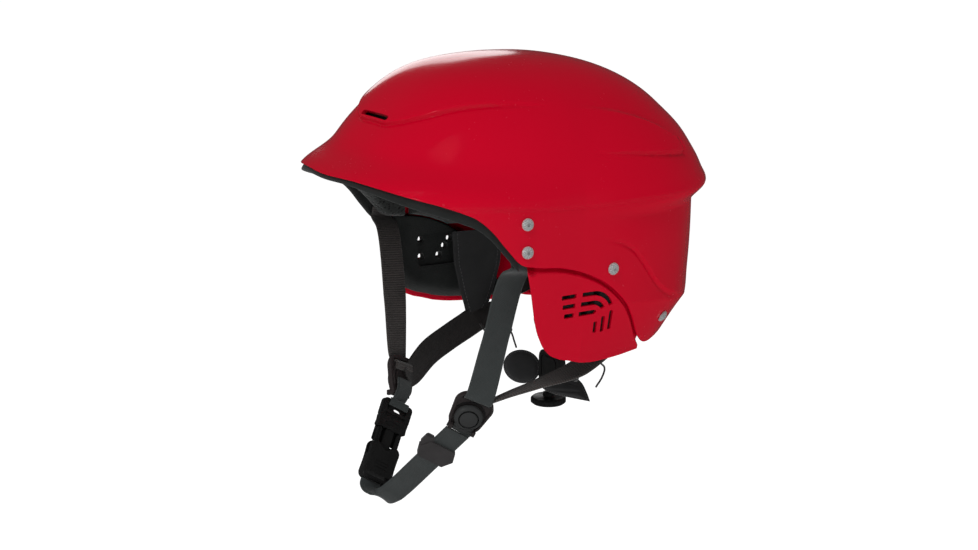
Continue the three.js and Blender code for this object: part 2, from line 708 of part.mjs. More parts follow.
function cradleDial() {
  const { top, low, radius } = DIAL;
  const rim = [[0, low], [radius - 2, low], [radius, low + 1.5], [radius, low + 4.5], [radius - 2.5, low + 6]];
  const dial = turned([...rim, [4, low + 6], [4, top], [0, top]], 20);
  return toSolid(dial.translate(0, DIAL.y, 0));
}
place("cradle_dial", cradleDial(), BLACK_PLASTIC);

// ---------- laces ----------
const LACE_RADIUS = 0.7;
const LACE_ROUTES = {
  right_front: [[-66, 22, -110], [-61, 26, -119], [-54, 29, -125], [-46, 28.5, -127], [-41, 27, -129.5]],
  right_rear: [[-57, 36, -106], [-58, 42, -114], [-56, 44, -119], [-48, 41, -122], [-36, 35.5, -123.5]],
  left_front: [[66, 22, -110], [60, 27, -120], [50, 32, -127], [38, 36, -129], [27, 41, -130]],
  left_rear: [[57, 38, -106], [57, 47, -114], [53, 54, -120], [47, 56, -129], [42.5, 54, -137]],
};

for (const [name, route] of Object.entries(LACE_ROUTES)) {
  const circle = new THREE.Shape().absarc(0, 0, LACE_RADIUS, 0, Math.PI * 2);
  const extrudePath = new THREE.CatmullRomCurve3(route.map(vec), false, "centripetal");
  const lace = new THREE.ExtrudeGeometry(circle, { steps: 14, curveSegments: 4, extrudePath });
  place(name + "_lace", toSolid(lace), FABRIC);
}

export default group;
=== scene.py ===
"""A whitewater helmet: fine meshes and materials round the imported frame."""
import json
import math

import bmesh
import bpy
import numpy as np
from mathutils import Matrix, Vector

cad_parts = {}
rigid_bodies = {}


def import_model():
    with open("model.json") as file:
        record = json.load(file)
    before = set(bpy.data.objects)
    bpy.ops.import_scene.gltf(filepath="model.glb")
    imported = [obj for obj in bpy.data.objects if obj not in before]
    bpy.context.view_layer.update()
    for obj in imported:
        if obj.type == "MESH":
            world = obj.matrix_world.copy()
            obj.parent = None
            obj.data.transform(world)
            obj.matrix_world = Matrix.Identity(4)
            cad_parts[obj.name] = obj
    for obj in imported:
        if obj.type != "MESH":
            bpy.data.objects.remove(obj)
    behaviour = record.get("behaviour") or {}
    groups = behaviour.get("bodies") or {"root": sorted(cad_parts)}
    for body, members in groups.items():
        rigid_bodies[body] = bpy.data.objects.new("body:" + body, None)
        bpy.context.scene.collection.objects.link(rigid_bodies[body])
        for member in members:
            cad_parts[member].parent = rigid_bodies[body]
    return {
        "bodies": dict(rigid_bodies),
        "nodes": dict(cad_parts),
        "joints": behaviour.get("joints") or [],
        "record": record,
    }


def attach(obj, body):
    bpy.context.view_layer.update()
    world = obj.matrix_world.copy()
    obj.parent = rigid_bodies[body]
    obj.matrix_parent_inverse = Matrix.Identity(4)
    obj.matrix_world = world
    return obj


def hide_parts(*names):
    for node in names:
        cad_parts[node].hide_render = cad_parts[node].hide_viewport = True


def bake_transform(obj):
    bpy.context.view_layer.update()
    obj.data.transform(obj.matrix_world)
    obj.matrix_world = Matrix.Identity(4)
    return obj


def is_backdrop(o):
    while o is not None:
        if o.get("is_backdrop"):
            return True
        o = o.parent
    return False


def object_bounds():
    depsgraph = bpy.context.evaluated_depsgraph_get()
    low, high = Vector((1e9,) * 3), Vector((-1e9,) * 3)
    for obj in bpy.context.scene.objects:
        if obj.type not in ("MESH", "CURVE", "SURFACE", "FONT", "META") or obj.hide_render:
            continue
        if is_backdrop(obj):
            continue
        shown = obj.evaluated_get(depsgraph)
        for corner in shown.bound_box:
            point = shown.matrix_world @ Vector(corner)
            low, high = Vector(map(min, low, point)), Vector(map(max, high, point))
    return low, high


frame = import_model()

CAD_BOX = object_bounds()
MM = 0.001
SIDES = {"left": 1, "right": -1}


# ---------- camera ----------
def look(azimuth, elevation, distance, target):
    """A place and a turn that look at target; azimuth 0 looks along +Y."""
    a, e = math.radians(azimuth), math.radians(elevation)
    back = Vector((math.sin(a) * math.cos(e), -math.cos(a) * math.cos(e), math.sin(e)))
    return Vector(target) + back * distance, (-back).to_track_quat("-Z", "Y")


def make_camera():
    data = bpy.data.cameras.new("camera")
    data.sensor_width = 36
    data.lens = 67.95
    data.clip_start, data.clip_end = 0.05, 60
    camera = bpy.data.objects.new("camera", data)
    camera.rotation_mode = "QUATERNION"
    camera.location, camera.rotation_quaternion = look(59, 13.45, 1.3, (0.0066, -0.0138, -0.0534))
    bpy.context.scene.collection.objects.link(camera)
    bpy.context.scene.camera = camera


make_camera()


# ---------- node materials ----------
class Finish:
    """A node material and short ways to add nodes to it."""

    def __init__(self, name, roughness, metallic=0.0, specular=0.5, coat=0.0, coat_roughness=0.05,
                 sheen=0.0, sheen_roughness=0.5):
        self.material = bpy.data.materials.new(name)
        self.material.use_nodes = True
        self.tree = self.material.node_tree
        self.shader = self.tree.nodes["Principled BSDF"]
        constants = {
            "Roughness": roughness, "Metallic": metallic, "Specular IOR Level": specular,
            "Coat Weight": coat, "Coat Roughness": coat_roughness,
            "Sheen Weight": sheen, "Sheen Roughness": sheen_roughness,
        }
        for socket, value in constants.items():
            self.shader.inputs[socket].default_value = value
        self.place = self.add("ShaderNodeTexCoord")

    def add(self, kind, inputs=None, **settings):
        made = self.tree.nodes.new(kind)
        for key, value in settings.items():
            setattr(made, key, value)
        for key, value in (inputs or {}).items():
            if isinstance(value, bpy.types.NodeSocket):
                self.tree.links.new(value, made.inputs[key])
            else:
                made.inputs[key].default_value = value
        return made

    def maths(self, operation, *values):
        made = self.add("ShaderNodeMath", operation=operation)
        for i, value in enumerate(values):
            if isinstance(value, bpy.types.NodeSocket):
                self.tree.links.new(value, made.inputs[i])
            else:
                made.inputs[i].default_value = value
        return made.outputs[0]

    def noise(self, scale, detail=3.0, stretch=None):
        where = self.place.outputs["Object"]
        if stretch:
            where = self.add("ShaderNodeMapping", {"Vector": where, "Scale": stretch}).outputs[0]
        made = self.add("ShaderNodeTexNoise", {"Vector": where, "Scale": scale, "Detail": detail})
        return made.outputs["Fac"]

    def cells(self, scale):
        made = self.add("ShaderNodeTexVoronoi", {"Vector": self.place.outputs["Object"], "Scale": scale})
        return made.outputs["Distance"]

    def remap(self, value, low, high, to_low, to_high):
        inputs = {"Value": value, "From Min": low, "From Max": high, "To Min": to_low, "To Max": to_high}
        return self.add("ShaderNodeMapRange", inputs).outputs["Result"]

    def colours(self, factor, dark, light):
        ramp = self.add("ShaderNodeValToRGB", {"Fac": factor})
        ramp.color_ramp.elements[0].color = (*dark, 1)
        ramp.color_ramp.elements[1].color = (*light, 1)
        self.tree.links.new(ramp.outputs["Color"], self.shader.inputs["Base Color"])
        return ramp

    def roughness(self, factor, low, high):
        self.tree.links.new(self.remap(factor, 0.3, 0.7, low, high), self.shader.inputs["Roughness"])

    def bump(self, *layers):
        """Each layer is (height, strength, distance in metres)."""
        normal = None
        for height, strength, distance in layers:
            inputs = {"Height": height, "Strength": strength, "Distance": distance}
            if normal:
                inputs["Normal"] = normal
            normal = self.add("ShaderNodeBump", inputs).outputs["Normal"]
        self.tree.links.new(normal, self.shader.inputs["Normal"])


def shell_finish():
    """Glossy red moulded plastic with a faint orange peel and a few dull scuffs."""
    f = Finish("shell_red", 0.16, specular=0.32, coat=0.12, coat_roughness=0.04)
    f.colours(f.noise(9, 2), (0.50, 0.0, 0.014), (0.57, 0.0, 0.018))
    scuffs = f.remap(f.noise(420, 6), 0.66, 0.72, 0, 1)
    patches = f.remap(f.noise(24, 2), 0.52, 0.62, 0, 1)
    dull = f.maths("MULTIPLY", scuffs, patches)
    f.tree.links.new(f.remap(dull, 0, 1, 0.16, 0.42), f.shader.inputs["Roughness"])
    f.bump((f.noise(240, 2), 0.05, 0.0004), (dull, 0.12, 0.0001))
    return f.material


def foam_finish():
    """Closed-cell black foam with a skin of fine cells."""
    f = Finish("foam_black", 0.85, specular=0.25, sheen=0.12)
    f.colours(f.noise(60, 4), (0.008, 0.009, 0.009), (0.020, 0.022, 0.021))
    f.roughness(f.noise(35), 0.75, 0.95)
    f.bump((f.cells(900), 0.5, 0.0003), (f.noise(2200, 2), 0.3, 0.0001))
    return f.material


def lining_finish():
    """Black perforated mesh cloth on the foam, with its holes painted dark: partly the black foam beneath,
    partly painted shade.
    """
    f = Finish("lining_mesh", 0.9, specular=0.2, sheen=0.25)
    holes = f.remap(f.cells(420), 0.25, 0.45, 0, 1)
    # The holes take the darker colour. This is the black foam beneath plus painted shade in the perforations.
    f.colours(holes, (0.004, 0.004, 0.004), (0.022, 0.024, 0.023))
    f.roughness(f.noise(50), 0.8, 0.95)
    f.bump((holes, 0.7, 0.0004), (f.noise(1500, 2), 0.3, 0.0001))
    return f.material


def woven_height(f, pitch, thread, ribbed=False):
    """A plain weave from the mesh's own map: u runs along the webbing and v across it, in metres."""
    split = f.add("ShaderNodeSeparateXYZ", {"Vector": f.place.outputs["UV"]})
    along, across = split.outputs[0], split.outputs[1]
    column = f.maths("FLOOR", f.maths("DIVIDE", across, thread))
    step = 0.06 if ribbed else 0.5
    shift = f.maths("MULTIPLY", f.maths("MODULO", f.maths("ABSOLUTE", column), 2.0), step)
    turn = f.maths("ADD", f.maths("DIVIDE", along, pitch), shift)
    rib = f.maths("ABSOLUTE", f.maths("SINE", f.maths("MULTIPLY", turn, math.pi)))
    ridge = f.maths("ABSOLUTE", f.maths("SINE", f.maths("MULTIPLY", across, math.pi / thread)))
    return f.maths("MULTIPLY", f.maths("POWER", rib, 0.6), f.maths("POWER", ridge, 0.1 if ribbed else 0.35))


def webbing_finish(name, dark, light, pitch=0.0012, thread=0.0010, ribbed=False, depth=0.00012):
    f = Finish(name, 0.72, specular=0.3, sheen=0.22, sheen_roughness=0.45)
    height = woven_height(f, pitch, thread, ribbed)
    # The colour follows the weave's height. It is darker in the hollows between threads, which is painted
    # shade, and lighter on the crests. A noise also dims it at random, as a real tone.
    worn = f.maths("MULTIPLY", height, f.remap(f.noise(70, 3), 0.3, 0.7, 0.75, 1.0))
    f.colours(worn, dark, light)
    f.roughness(f.noise(90), 0.62, 0.82)
    f.bump((height, 0.9, depth), (f.noise(2600, 2), 0.25, 0.00006))
    return f.material


def grained_finish(name, roughness, dark, light, tint, wear, grain, **settings):
    """A finish that follows noises. tint is (scale, detail) for the colour, wear is (low, high, scale, detail)
    for the roughness, and each grain is (strength, distance, scale, detail) and a stretch if it has one."""
    f = Finish(name, roughness, **settings)
    f.colours(f.noise(*tint), dark, light)
    low, high, *worn = wear
    f.roughness(f.noise(*worn), low, high)
    f.bump(*[(f.noise(*noise), strength, distance) for strength, distance, *noise in grain])
    return f.material


def plastic_finish(name, dark, light, low, high, grain=1100, depth=0.00008):
    """Moulded plastic with a spark-eroded grain."""
    return grained_finish(name, low, dark, light, (55, 4), (low, high, 130, 4), [(0.35, depth, grain, 3)],
                          specular=0.5, coat=0.08, coat_roughness=0.2)


RED = shell_finish()
FOAM = foam_finish()
LINING = lining_finish()
# The dark colour of each webbing is painted shade for the hollows of its weave. The light colour is its thread
# crests.
WEBBING = webbing_finish("webbing_charcoal", (0.020, 0.024, 0.024), (0.040, 0.046, 0.046))
WEBBING_RIBBED = webbing_finish("webbing_ribbed", (0.012, 0.010, 0.010), (0.075, 0.064, 0.060), pitch=0.0017,
                                thread=0.002, ribbed=True, depth=0.00045)
WEBBING_DARK = webbing_finish("webbing_black", (0.010, 0.009, 0.009), (0.030, 0.026, 0.025))
# Nylon cloth with a fine weave and a soft nap.
FABRIC = grained_finish("fabric_black", 0.82, (0.010, 0.010, 0.011), (0.026, 0.026, 0.027), (40, 4),
                        (0.7, 0.9, 45), [(0.5, 0.0002, 1400, 1, (1, 1, 3)), (0.25, 0.0008, 80, 2)],
                        specular=0.25, sheen=0.3)
PLASTIC = plastic_finish("plastic_black", (0.006, 0.006, 0.006), (0.013, 0.013, 0.013), 0.3, 0.46)
GLOSS = plastic_finish("plastic_polished", (0.007, 0.007, 0.007), (0.012, 0.012, 0.012), 0.14, 0.26,
                       grain=400, depth=0.00003)
LID = plastic_finish("plastic_grey", (0.022, 0.023, 0.023), (0.036, 0.037, 0.037), 0.28, 0.42)
UMBER = plastic_finish("plastic_umber", (0.020, 0.016, 0.016), (0.036, 0.029, 0.029), 0.26, 0.4)
RUBBER = grained_finish("rubber_grey", 0.62, (0.020, 0.018, 0.019), (0.038, 0.034, 0.035), (70, 4),
                        (0.52, 0.72, 110), [(0.3, 0.0001, 900)], specular=0.3, sheen=0.1)
# Stainless steel, turned, so its brush marks run round.
STEEL = grained_finish("steel", 0.22, (0.66, 0.67, 0.68), (0.92, 0.92, 0.92), (160, 3),
                       (0.16, 0.36, 700, 3, (1, 1, 6)), [(0.2, 0.00005, 1800, 2, (1, 1, 8))], metallic=0.65)
CORD = grained_finish("lace_black", 0.6, (0.010, 0.010, 0.010), (0.030, 0.029, 0.028), (600, 3),
                      (0.5, 0.7, 300), [(0.4, 0.00006, 2400, 2)], specular=0.4, sheen=0.2)
THREAD = grained_finish("thread_grey", 0.7, (0.05, 0.05, 0.052), (0.11, 0.11, 0.112), (900, 2), (0.6, 0.8, 300),
                        [(0.4, 0.00004, 3000, 2)], specular=0.3, sheen=0.3)


# ---------- meshes ----------
def make_mesh(name, points, faces, material, uvs=None, sharp=None):
    """A mesh object from points in millimetres. uvs has one pair for each corner of each face."""
    mesh = bpy.data.meshes.new(name)
    mesh.from_pydata((np.asarray(points, float) * MM).tolist(), [], [tuple(map(int, f)) for f in faces])
    if uvs is not None:
        layer = mesh.uv_layers.new(name="map")
        layer.data.foreach_set("uv", np.asarray(uvs, np.float32).ravel())
    obj = bpy.data.objects.new(name, mesh)
    bpy.context.scene.collection.objects.link(obj)
    weld(obj)
    mesh.materials.append(material)
    shade(obj, sharp)
    return obj


def weld(obj, distance=1e-6):
    bm = bmesh.new()
    bm.from_mesh(obj.data)
    bmesh.ops.remove_doubles(bm, verts=bm.verts, dist=distance)
    bmesh.ops.dissolve_degenerate(bm, dist=1e-8, edges=bm.edges)
    bmesh.ops.recalc_face_normals(bm, faces=bm.faces)
    bm.to_mesh(obj.data)
    bm.free()


def shade(obj, sharp=None):
    obj.data.polygons.foreach_set("use_smooth", [True] * len(obj.data.polygons))
    if sharp:
        obj.data.set_sharp_from_angle(angle=math.radians(sharp))
    obj.data.update()


def baked(obj):
    """Replaces the object's mesh by what its modifiers make of it."""
    bpy.context.view_layer.update()
    shown = obj.evaluated_get(bpy.context.evaluated_depsgraph_get())
    mesh = bpy.data.meshes.new_from_object(shown)
    obj.modifiers.clear()
    old, obj.data = obj.data, mesh
    bpy.data.meshes.remove(old)
    return obj


def combine(obj, tools, operation="DIFFERENCE"):
    """Cuts the tools off the object, or joins them to it, and removes them."""
    for tool in tools:
        modifier = obj.modifiers.new("cut", "BOOLEAN")
        modifier.operation = operation
        modifier.solver = "MANIFOLD"
        modifier.object = tool
    baked(obj)
    for tool in tools:
        bpy.data.objects.remove(tool)
    return obj


def soften(obj, width, segments=3):
    """Rounds the edges and gives the faces even normals."""
    bevel = obj.modifiers.new("bevel", "BEVEL")
    bevel.width = width * MM
    bevel.segments = segments
    bevel.limit_method = "ANGLE"
    bevel.angle_limit = math.radians(32)
    bevel.harden_normals = False
    bevel.use_clamp_overlap = True
    obj.modifiers.new("normals", "WEIGHTED_NORMAL").keep_sharp = True
    baked(obj)
    shade(obj, 50)
    return obj


def finished(obj, body, slot, *nodes, fill=None):
    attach(obj, body)
    if nodes:
        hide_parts(*nodes)
    return obj


def mirrored(points):
    return np.asarray(points, float) * (-1, 1, 1)


# ---------- lines and frames ----------
def unit(v):
    v = np.asarray(v, float)
    return v / np.linalg.norm(v)


def line_through(points, count):
    """A centripetal Catmull-Rom line through the points, as count + 1 points."""
    p = np.asarray(points, float)
    p = np.vstack([2 * p[0] - p[1], p, 2 * p[-1] - p[-2]])
    spans = len(p) - 3
    made = []
    for t in np.linspace(0, spans, count + 1):
        k = min(int(t), spans - 1)
        a, b, c, d = p[k:k + 4]
        gaps = [max(np.linalg.norm(v) ** 0.5, 1e-6) for v in (b - a, c - b, d - c)]
        first = ((b - a) / gaps[0] - (c - a) / (gaps[0] + gaps[1]) + (c - b) / gaps[1]) * gaps[1]
        last = ((c - b) / gaps[1] - (d - b) / (gaps[1] + gaps[2]) + (d - c) / gaps[2]) * gaps[1]
        u = t - k
        made.append((2 * u**3 - 3 * u**2 + 1) * b + (u**3 - 2 * u**2 + u) * first
                    + (3 * u**2 - 2 * u**3) * c + (u**3 - u**2) * last)
    return np.array(made)


def frame_at(point, out, up=(0, 0, 1)):
    """A 4x4 frame in millimetres, z along out and y as near to up as it can be."""
    z = unit(out)
    x = unit(np.cross(up, z))
    m = np.eye(4)
    m[:3, 0], m[:3, 1], m[:3, 2], m[:3, 3] = x, np.cross(z, x), z, point
    return m


def into(matrix, points):
    return np.asarray(points, float) @ matrix[:3, :3].T + matrix[:3, 3]


def flipped(matrix):
    """The same frame on the other side of the helmet."""
    return np.diag([-1, 1, 1, 1]) @ matrix


# ---------- closed forms in a frame ----------
def arc(radius, start, stop, steps, centre=(0, 0)):
    """Points on an arc between two turns in degrees."""
    turns = np.radians(np.linspace(start, stop, steps + 1))
    return [(centre[0] + radius * math.cos(a), centre[1] + radius * math.sin(a)) for a in turns]


def arc_band(radius, width, start, stop, centre):
    """A band along an arc, as an outline."""
    outer, inner = [arc(radius + half, start, stop, 24, centre) for half in (width / 2, -width / 2)]
    return outer + inner[::-1]


def circle(radius, count=32, centre=(0, 0)):
    return arc(radius, 0, 360, count, centre)[:-1]


def rounded_box(width, height, corner, centre=(0, 0), steps=5):
    x, y = width / 2 - corner, height / 2 - corner
    made = []
    for cx, cy, start in ((x, -y, -90), (x, y, 0), (-x, y, 90), (-x, -y, 180)):
        made += arc(corner, start, start + 90, steps, (centre[0] + cx, centre[1] + cy))
    return made


def hull_of_circles(circles):
    """The outline of a rubber band round circles given as (x, y, radius)."""
    made, steps = [], 40
    for i in range(steps * 2):
        a = math.pi * i / steps
        reach = [x * math.cos(a) + y * math.sin(a) + r for x, y, r in circles]
        x, y, r = circles[int(np.argmax(reach))]
        made.append((x + r * math.cos(a), y + r * math.sin(a)))
    return made


def prism(outline, low, high):
    n = len(outline)
    points = [(x, y, z) for z in (low, high) for x, y in outline]
    faces = [tuple(reversed(range(n))), tuple(range(n, 2 * n))]
    faces += [(i, (i + 1) % n, n + (i + 1) % n, n + i) for i in range(n)]
    return points, faces


def box_shape(x, y, z):
    """A plain box between two x, two y and two z."""
    return prism([(x[0], y[0]), (x[1], y[0]), (x[1], y[1]), (x[0], y[1])], *z)


def shifted(shape, x, y, z):
    points, faces = shape
    return np.asarray(points, float) + (x, y, z), faces


def joined(shapes):
    """Forms that don't touch, as one."""
    points, faces = [], []
    for more_points, more_faces in shapes:
        faces += [tuple(v + len(points) for v in face) for face in more_faces]
        points += list(more_points)
    return points, faces


def turned(profile, sides=40):
    """A piece turned about z from [radius, height] pairs that start and end on the axis, or close."""
    points, faces = [], []
    n = len(profile)
    for i in range(sides):
        a = 2 * math.pi * i / sides
        points += [(r * math.cos(a), r * math.sin(a), z) for r, z in profile]
    for i in range(sides):
        j = (i + 1) % sides
        faces += [(i * n + k, j * n + k, j * n + k + 1, i * n + k + 1) for k in range(n - 1)]
    return points, faces


def form(name, matrix, shape, material=None):
    points, faces = shape
    return make_mesh(name, into(matrix, points), faces, material or PLASTIC, sharp=40)


def moulded(name, matrix, bodies, cuts, material, bevel=0.5, segments=3):
    """A moulded piece: forms joined, forms cut off, and the edges rounded."""
    first, *rest = [form(f"{name}_form{i}", matrix, shape, material) for i, shape in enumerate(bodies)]
    if rest:
        combine(first, rest, "UNION")
    if cuts:
        combine(first, [form(f"{name}_cut{i}", matrix, shape) for i, shape in enumerate(cuts)])
    first.name = name
    weld(first, 2e-6)
    if bevel:
        soften(first, bevel, segments)
    return first


# ---------- the shell's surface, as in the frame ----------
HALF_WIDTH, FRONT_LENGTH, REAR_LENGTH = 107, 129, 136
CROWN_HEIGHT, LOWER_HEIGHT = 102.5, 240
PLAN_POWER, SIDE_POWER, REAR_POWER = 2.45, 2.4, 2.2
SHELL_THICK = 3
COVER_THICK, COVER_SUNK, TUCK_DEPTH, COVER_TUCK = 2.2, 0.7, SHELL_THICK + 1.15, 11
FOAM_BACK, FOAM_FRONT, SIDE_FOAM_FRONT = 20, 6.5, 11
SHELL_RIM = [
    (0, 12), (15, 12), (25, 11), (35, 9.3), (43, 7.6), (48, 6), (52, 4.2), (56, 0.6), (60, -4.6), (65, -10.6),
    (70, -12.4), (80, -14.4), (90, -17.6), (95, -19.6),
    (100, -22), (105, -25.2), (110, -29), (115, -33.8), (120, -38.4), (126, -41.6), (150, -39), (180, -38),
]
EAR_EDGE = [
    (67.3, -14), (68.2, -18.4), (70, -29), (72.5, -35.4), (75, -38.4), (80, -41.2), (85, -42.6),
    (95, -44.6), (106, -45.2), (114, -45.1), (120, -44.8), (128, -44.4),
]
# Moulded lines on the shell, as (turn from the front, lift).
PANEL_EDGE = [(0, 31.9), (12, 31.8), (24, 34.8), (41, 40.1), (74, 43.7), (106, 40.3), (119, 35.4), (132, 27.5),
              (141, 19.2)]
TAIL_EDGE = [(88, 25.5), (103, 22.6), (112, 21.2), (124, 18.5), (136, 16.1), (145, 14.6)]
WAIST_LINE = [(40, 7.4), (60, 7.1), (92, 6.2), (114, 5.9), (134, 4.6)]
EAR_BULGE = [(96, -5.6), (101, -6.9), (106, -8.1), (111, -10.9), (117, -16.6), (123, -22.3), (130, -25.6),
             (138, -26.8)]
# Depths of the moulded steps and lines, in millimetres.
CROWN_STEP, TONGUE_STEP, VENT_DEPTH, WAIST_STEP, BULGE_STEP = 2.3, 2.9, 3.2, 1.2, 1.8
PANEL_CREASE, TAIL_CREASE, BULGE_CREASE = 0.9, 0.8, 0.6
CREASE_WIDTH = 0.62  # degrees of lift
LIP_ROLL, LIP_GROOVE = 2.4, 1.2
# Swellings and hollows of the dome: how deep, then the lifts where they lie.
BROW_HOLLOW, BROW_LIFT, BROW_SPREAD = 8.5, 33, 20
BRIM_FLARE, BRIM_FULL, BRIM_GONE = 18, 9, 24
REAR_LIP, LIP_FOOT, LIP_EDGE, LIP_TOP = 10, -0.5, 4.5, 31.5
NAPE_TAPER, NAPE_LIFT, NAPE_SPAN = 16, -28, 12
NAPE_ROLL, ROLL_LIFT, ROLL_SPREAD = 1, -27, 4


def smooth(x, low, high):
    t = np.clip((np.asarray(x, float) - low) / (high - low), 0, 1)
    return t * t * (3 - 2 * t)


def fades(x, start, full, fall, end):
    """1 between full and fall, and 0 before start and after end."""
    return smooth(x, start, full) * (1 - smooth(x, fall, end))


def hump(x, middle, spread):
    return np.exp(-(((x - middle) / spread) ** 2))


def through(points, x):
    """A smooth curve through (x, y) points."""
    px, py = np.array(points, float).T
    slope = np.gradient(py, px)
    x = np.clip(x, px[0], px[-1])
    k = np.clip(np.searchsorted(px, x, side="right") - 1, 0, len(px) - 2)
    wide = px[k + 1] - px[k]
    t = (x - px[k]) / wide
    return ((2 * t**3 - 3 * t**2 + 1) * py[k] + (t**3 - 2 * t**2 + t) * wide * slope[k]
            + (3 * t**2 - 2 * t**3) * py[k + 1] + (t**3 - t**2) * wide * slope[k + 1])


def round_from_front(turn):
    return np.abs((np.asarray(turn, float) + 270) % 360 - 180)


def superellipse(x, y, power):
    """How far a ray reaches, whose direction is (x, y) in half axes."""
    return (np.abs(x) ** power + np.abs(y) ** power) ** (-1 / power)


def surface_radius(turn, lift):
    turn, lift = np.asarray(turn, float), np.asarray(lift, float)
    across, along = np.cos(np.radians(turn)), np.sin(np.radians(turn))
    front, rear = np.maximum(-along, 0) ** 1.5, np.maximum(along, 0)
    length = np.where(along < 0, FRONT_LENGTH, REAR_LENGTH)
    plan = superellipse(across / HALF_WIDTH, along / length, PLAN_POWER)
    power = SIDE_POWER + (REAR_POWER - SIDE_POWER) * rear
    height = np.where(lift > 0, CROWN_HEIGHT, LOWER_HEIGHT)
    rise = np.radians(lift)
    radius = superellipse(np.cos(rise) / plan, np.sin(rise) / height, power)
    radius = radius - BROW_HOLLOW * front * hump(lift, BROW_LIFT, BROW_SPREAD)
    radius = radius + BRIM_FLARE * front * (1 - smooth(lift, BRIM_FULL, BRIM_GONE)) ** 1.6
    radius = radius + REAR_LIP * rear**1.2 * fades(lift, LIP_FOOT, LIP_EDGE, LIP_EDGE, LIP_TOP)
    radius = radius - NAPE_TAPER * rear * np.clip((NAPE_LIFT - lift) / NAPE_SPAN, 0, 1.3)
    return radius + NAPE_ROLL * rear * hump(lift, ROLL_LIFT, ROLL_SPREAD)


def relief(turn, lift):
    """The moulded steps of the shell: crown panel, rear tongues with their vents, waist line and ear bulge."""
    turn, lift = np.asarray(turn, float), np.asarray(lift, float)
    phi = round_from_front(turn)
    panel, tail, ear = through(PANEL_EDGE, phi), through(TAIL_EDGE, phi), through(EAR_BULGE, phi)
    crown = CROWN_STEP * smooth(lift - panel, -0.7, 0.7) * (1 - smooth(lift, panel + 4, 72))
    crown = crown * (1 - smooth(phi, 38, 88))
    tongue = smooth(panel - lift, -0.4, 2.2) * smooth(lift - tail, -0.5, 1.1)
    tongue = TONGUE_STEP * tongue * fades(phi, 90, 132, 137.6, 139.2)
    vent = VENT_DEPTH * fades(phi, 137.8, 139, 140.6, 142.4) * fades(lift, 15.9, 17.2, 19.2, 20.6)
    waist = WAIST_STEP * smooth(lift - through(WAIST_LINE, phi), -0.8, 0.5) * fades(phi, 38, 58, 120, 140)
    waist = waist * (1 - smooth(lift, 9, 24))
    bulge = BULGE_STEP * smooth(lift - ear, -0.8, 0.8) * fades(phi, 95, 112, 132, 146)
    bulge = bulge * (1 - smooth(lift, -10, 2))
    rear = np.maximum(np.sin(np.radians(turn)), 0) ** 1.2
    lip = rear * (LIP_ROLL * hump(lift, 5, 2.3) - LIP_GROOVE * hump(lift, 15, 5))
    lines = PANEL_CREASE * hump(lift, panel - 0.7, CREASE_WIDTH) * (1 - smooth(phi, 50, 84))
    lines = lines + TAIL_CREASE * hump(lift, tail, CREASE_WIDTH) * fades(phi, 92, 120, 138, 140)
    lines = lines + BULGE_CREASE * hump(lift, ear - 0.8, CREASE_WIDTH) * fades(phi, 97, 108, 130, 142)
    return crown + tongue - vent + waist + bulge + lip - lines


def polar(turn, lift, radius):
    turn, lift = np.radians(turn), np.radians(lift)
    level = radius * np.cos(lift)
    return np.stack([level * np.cos(turn), level * np.sin(turn), radius * np.sin(lift)], axis=-1)


def surface_point(turn, lift, offset=0.0):
    return polar(turn, lift, surface_radius(turn, lift) + offset)


def surface_frame(turn, lift):
    """A frame on the shell's outer surface, z pointing out of it."""
    across = surface_point(turn + 1, lift) - surface_point(turn - 1, lift)
    rise = surface_point(turn, lift + 1) - surface_point(turn, lift - 1)
    return frame_at(surface_point(turn, lift), np.cross(across, rise))


def shell_rim(turn):
    return through(SHELL_RIM, round_from_front(turn))


def ear_edge(turn):
    return through(EAR_EDGE, np.asarray(turn, float) + 90)


def read(collection, name, width=1, kind=np.float32):
    """One attribute of a mesh's vertices, corners or faces, as an array."""
    values = np.zeros(len(collection) * width, kind)
    collection.foreach_get(name, values)
    return values.reshape(-1, width) if width > 1 else values


def follow_surface(obj, radius_of):
    """Gives the faces that lie on a smooth polar surface that surface's own normals, so cuts leave no dents."""
    mesh = obj.data
    shade(obj, 35)
    corner = read(mesh.loops, "vertex_index", kind=np.int32)
    p = read(mesh.vertices, "co", 3)[corner].astype(float) / MM
    corners = read(mesh.polygons, "loop_total", kind=np.int32)
    of_face = np.repeat(read(mesh.polygons, "normal", 3), corners, axis=0)
    radius = np.linalg.norm(p, axis=1)
    turn = np.degrees(np.arctan2(p[:, 1], p[:, 0]))
    lift = np.degrees(np.arcsin(np.clip(p[:, 2] / radius, -1, 1)))
    step = 0.12

    def at(turn, lift):
        return polar(turn, lift, radius_of(turn, lift))

    across = at(turn + step, lift) - at(turn - step, lift)
    normal = np.cross(across, at(turn, lift + step) - at(turn, lift - step))
    normal = normal / np.maximum(np.linalg.norm(normal, axis=1, keepdims=True), 1e-9)
    on = (np.abs(radius - radius_of(turn, lift)) < 0.03) & ((normal * of_face).sum(1) > 0.8) & (lift < 88)
    normal[~on] = 0
    mesh.normals_split_custom_set(normal.tolist())


# ---------- layers between two offsets of the surface ----------
def edge_spaced(length, step, radius):
    """Distances along a length, close together near both ends, where the edges are rounded."""
    near = [radius * (1 - math.cos(math.radians(a))) for a in (0, 20, 40, 60, 90)]
    inner = max(2, round((length - 2 * radius) / step))
    middle = np.linspace(radius, length - radius, inner + 1)[1:-1]
    return np.concatenate([near, middle, length - np.array(near[::-1])])


def swell(distance, radius, crisp=2.0):
    """The share of its full thickness that a layer has at a distance from its rounded edge."""
    t = np.clip(distance / radius, 0, 1)
    return np.clip(1 - (1 - t) ** crisp, 0, 1) ** (1 / crisp)


ARC = math.radians(1) * 105  # millimetres of shell in one degree


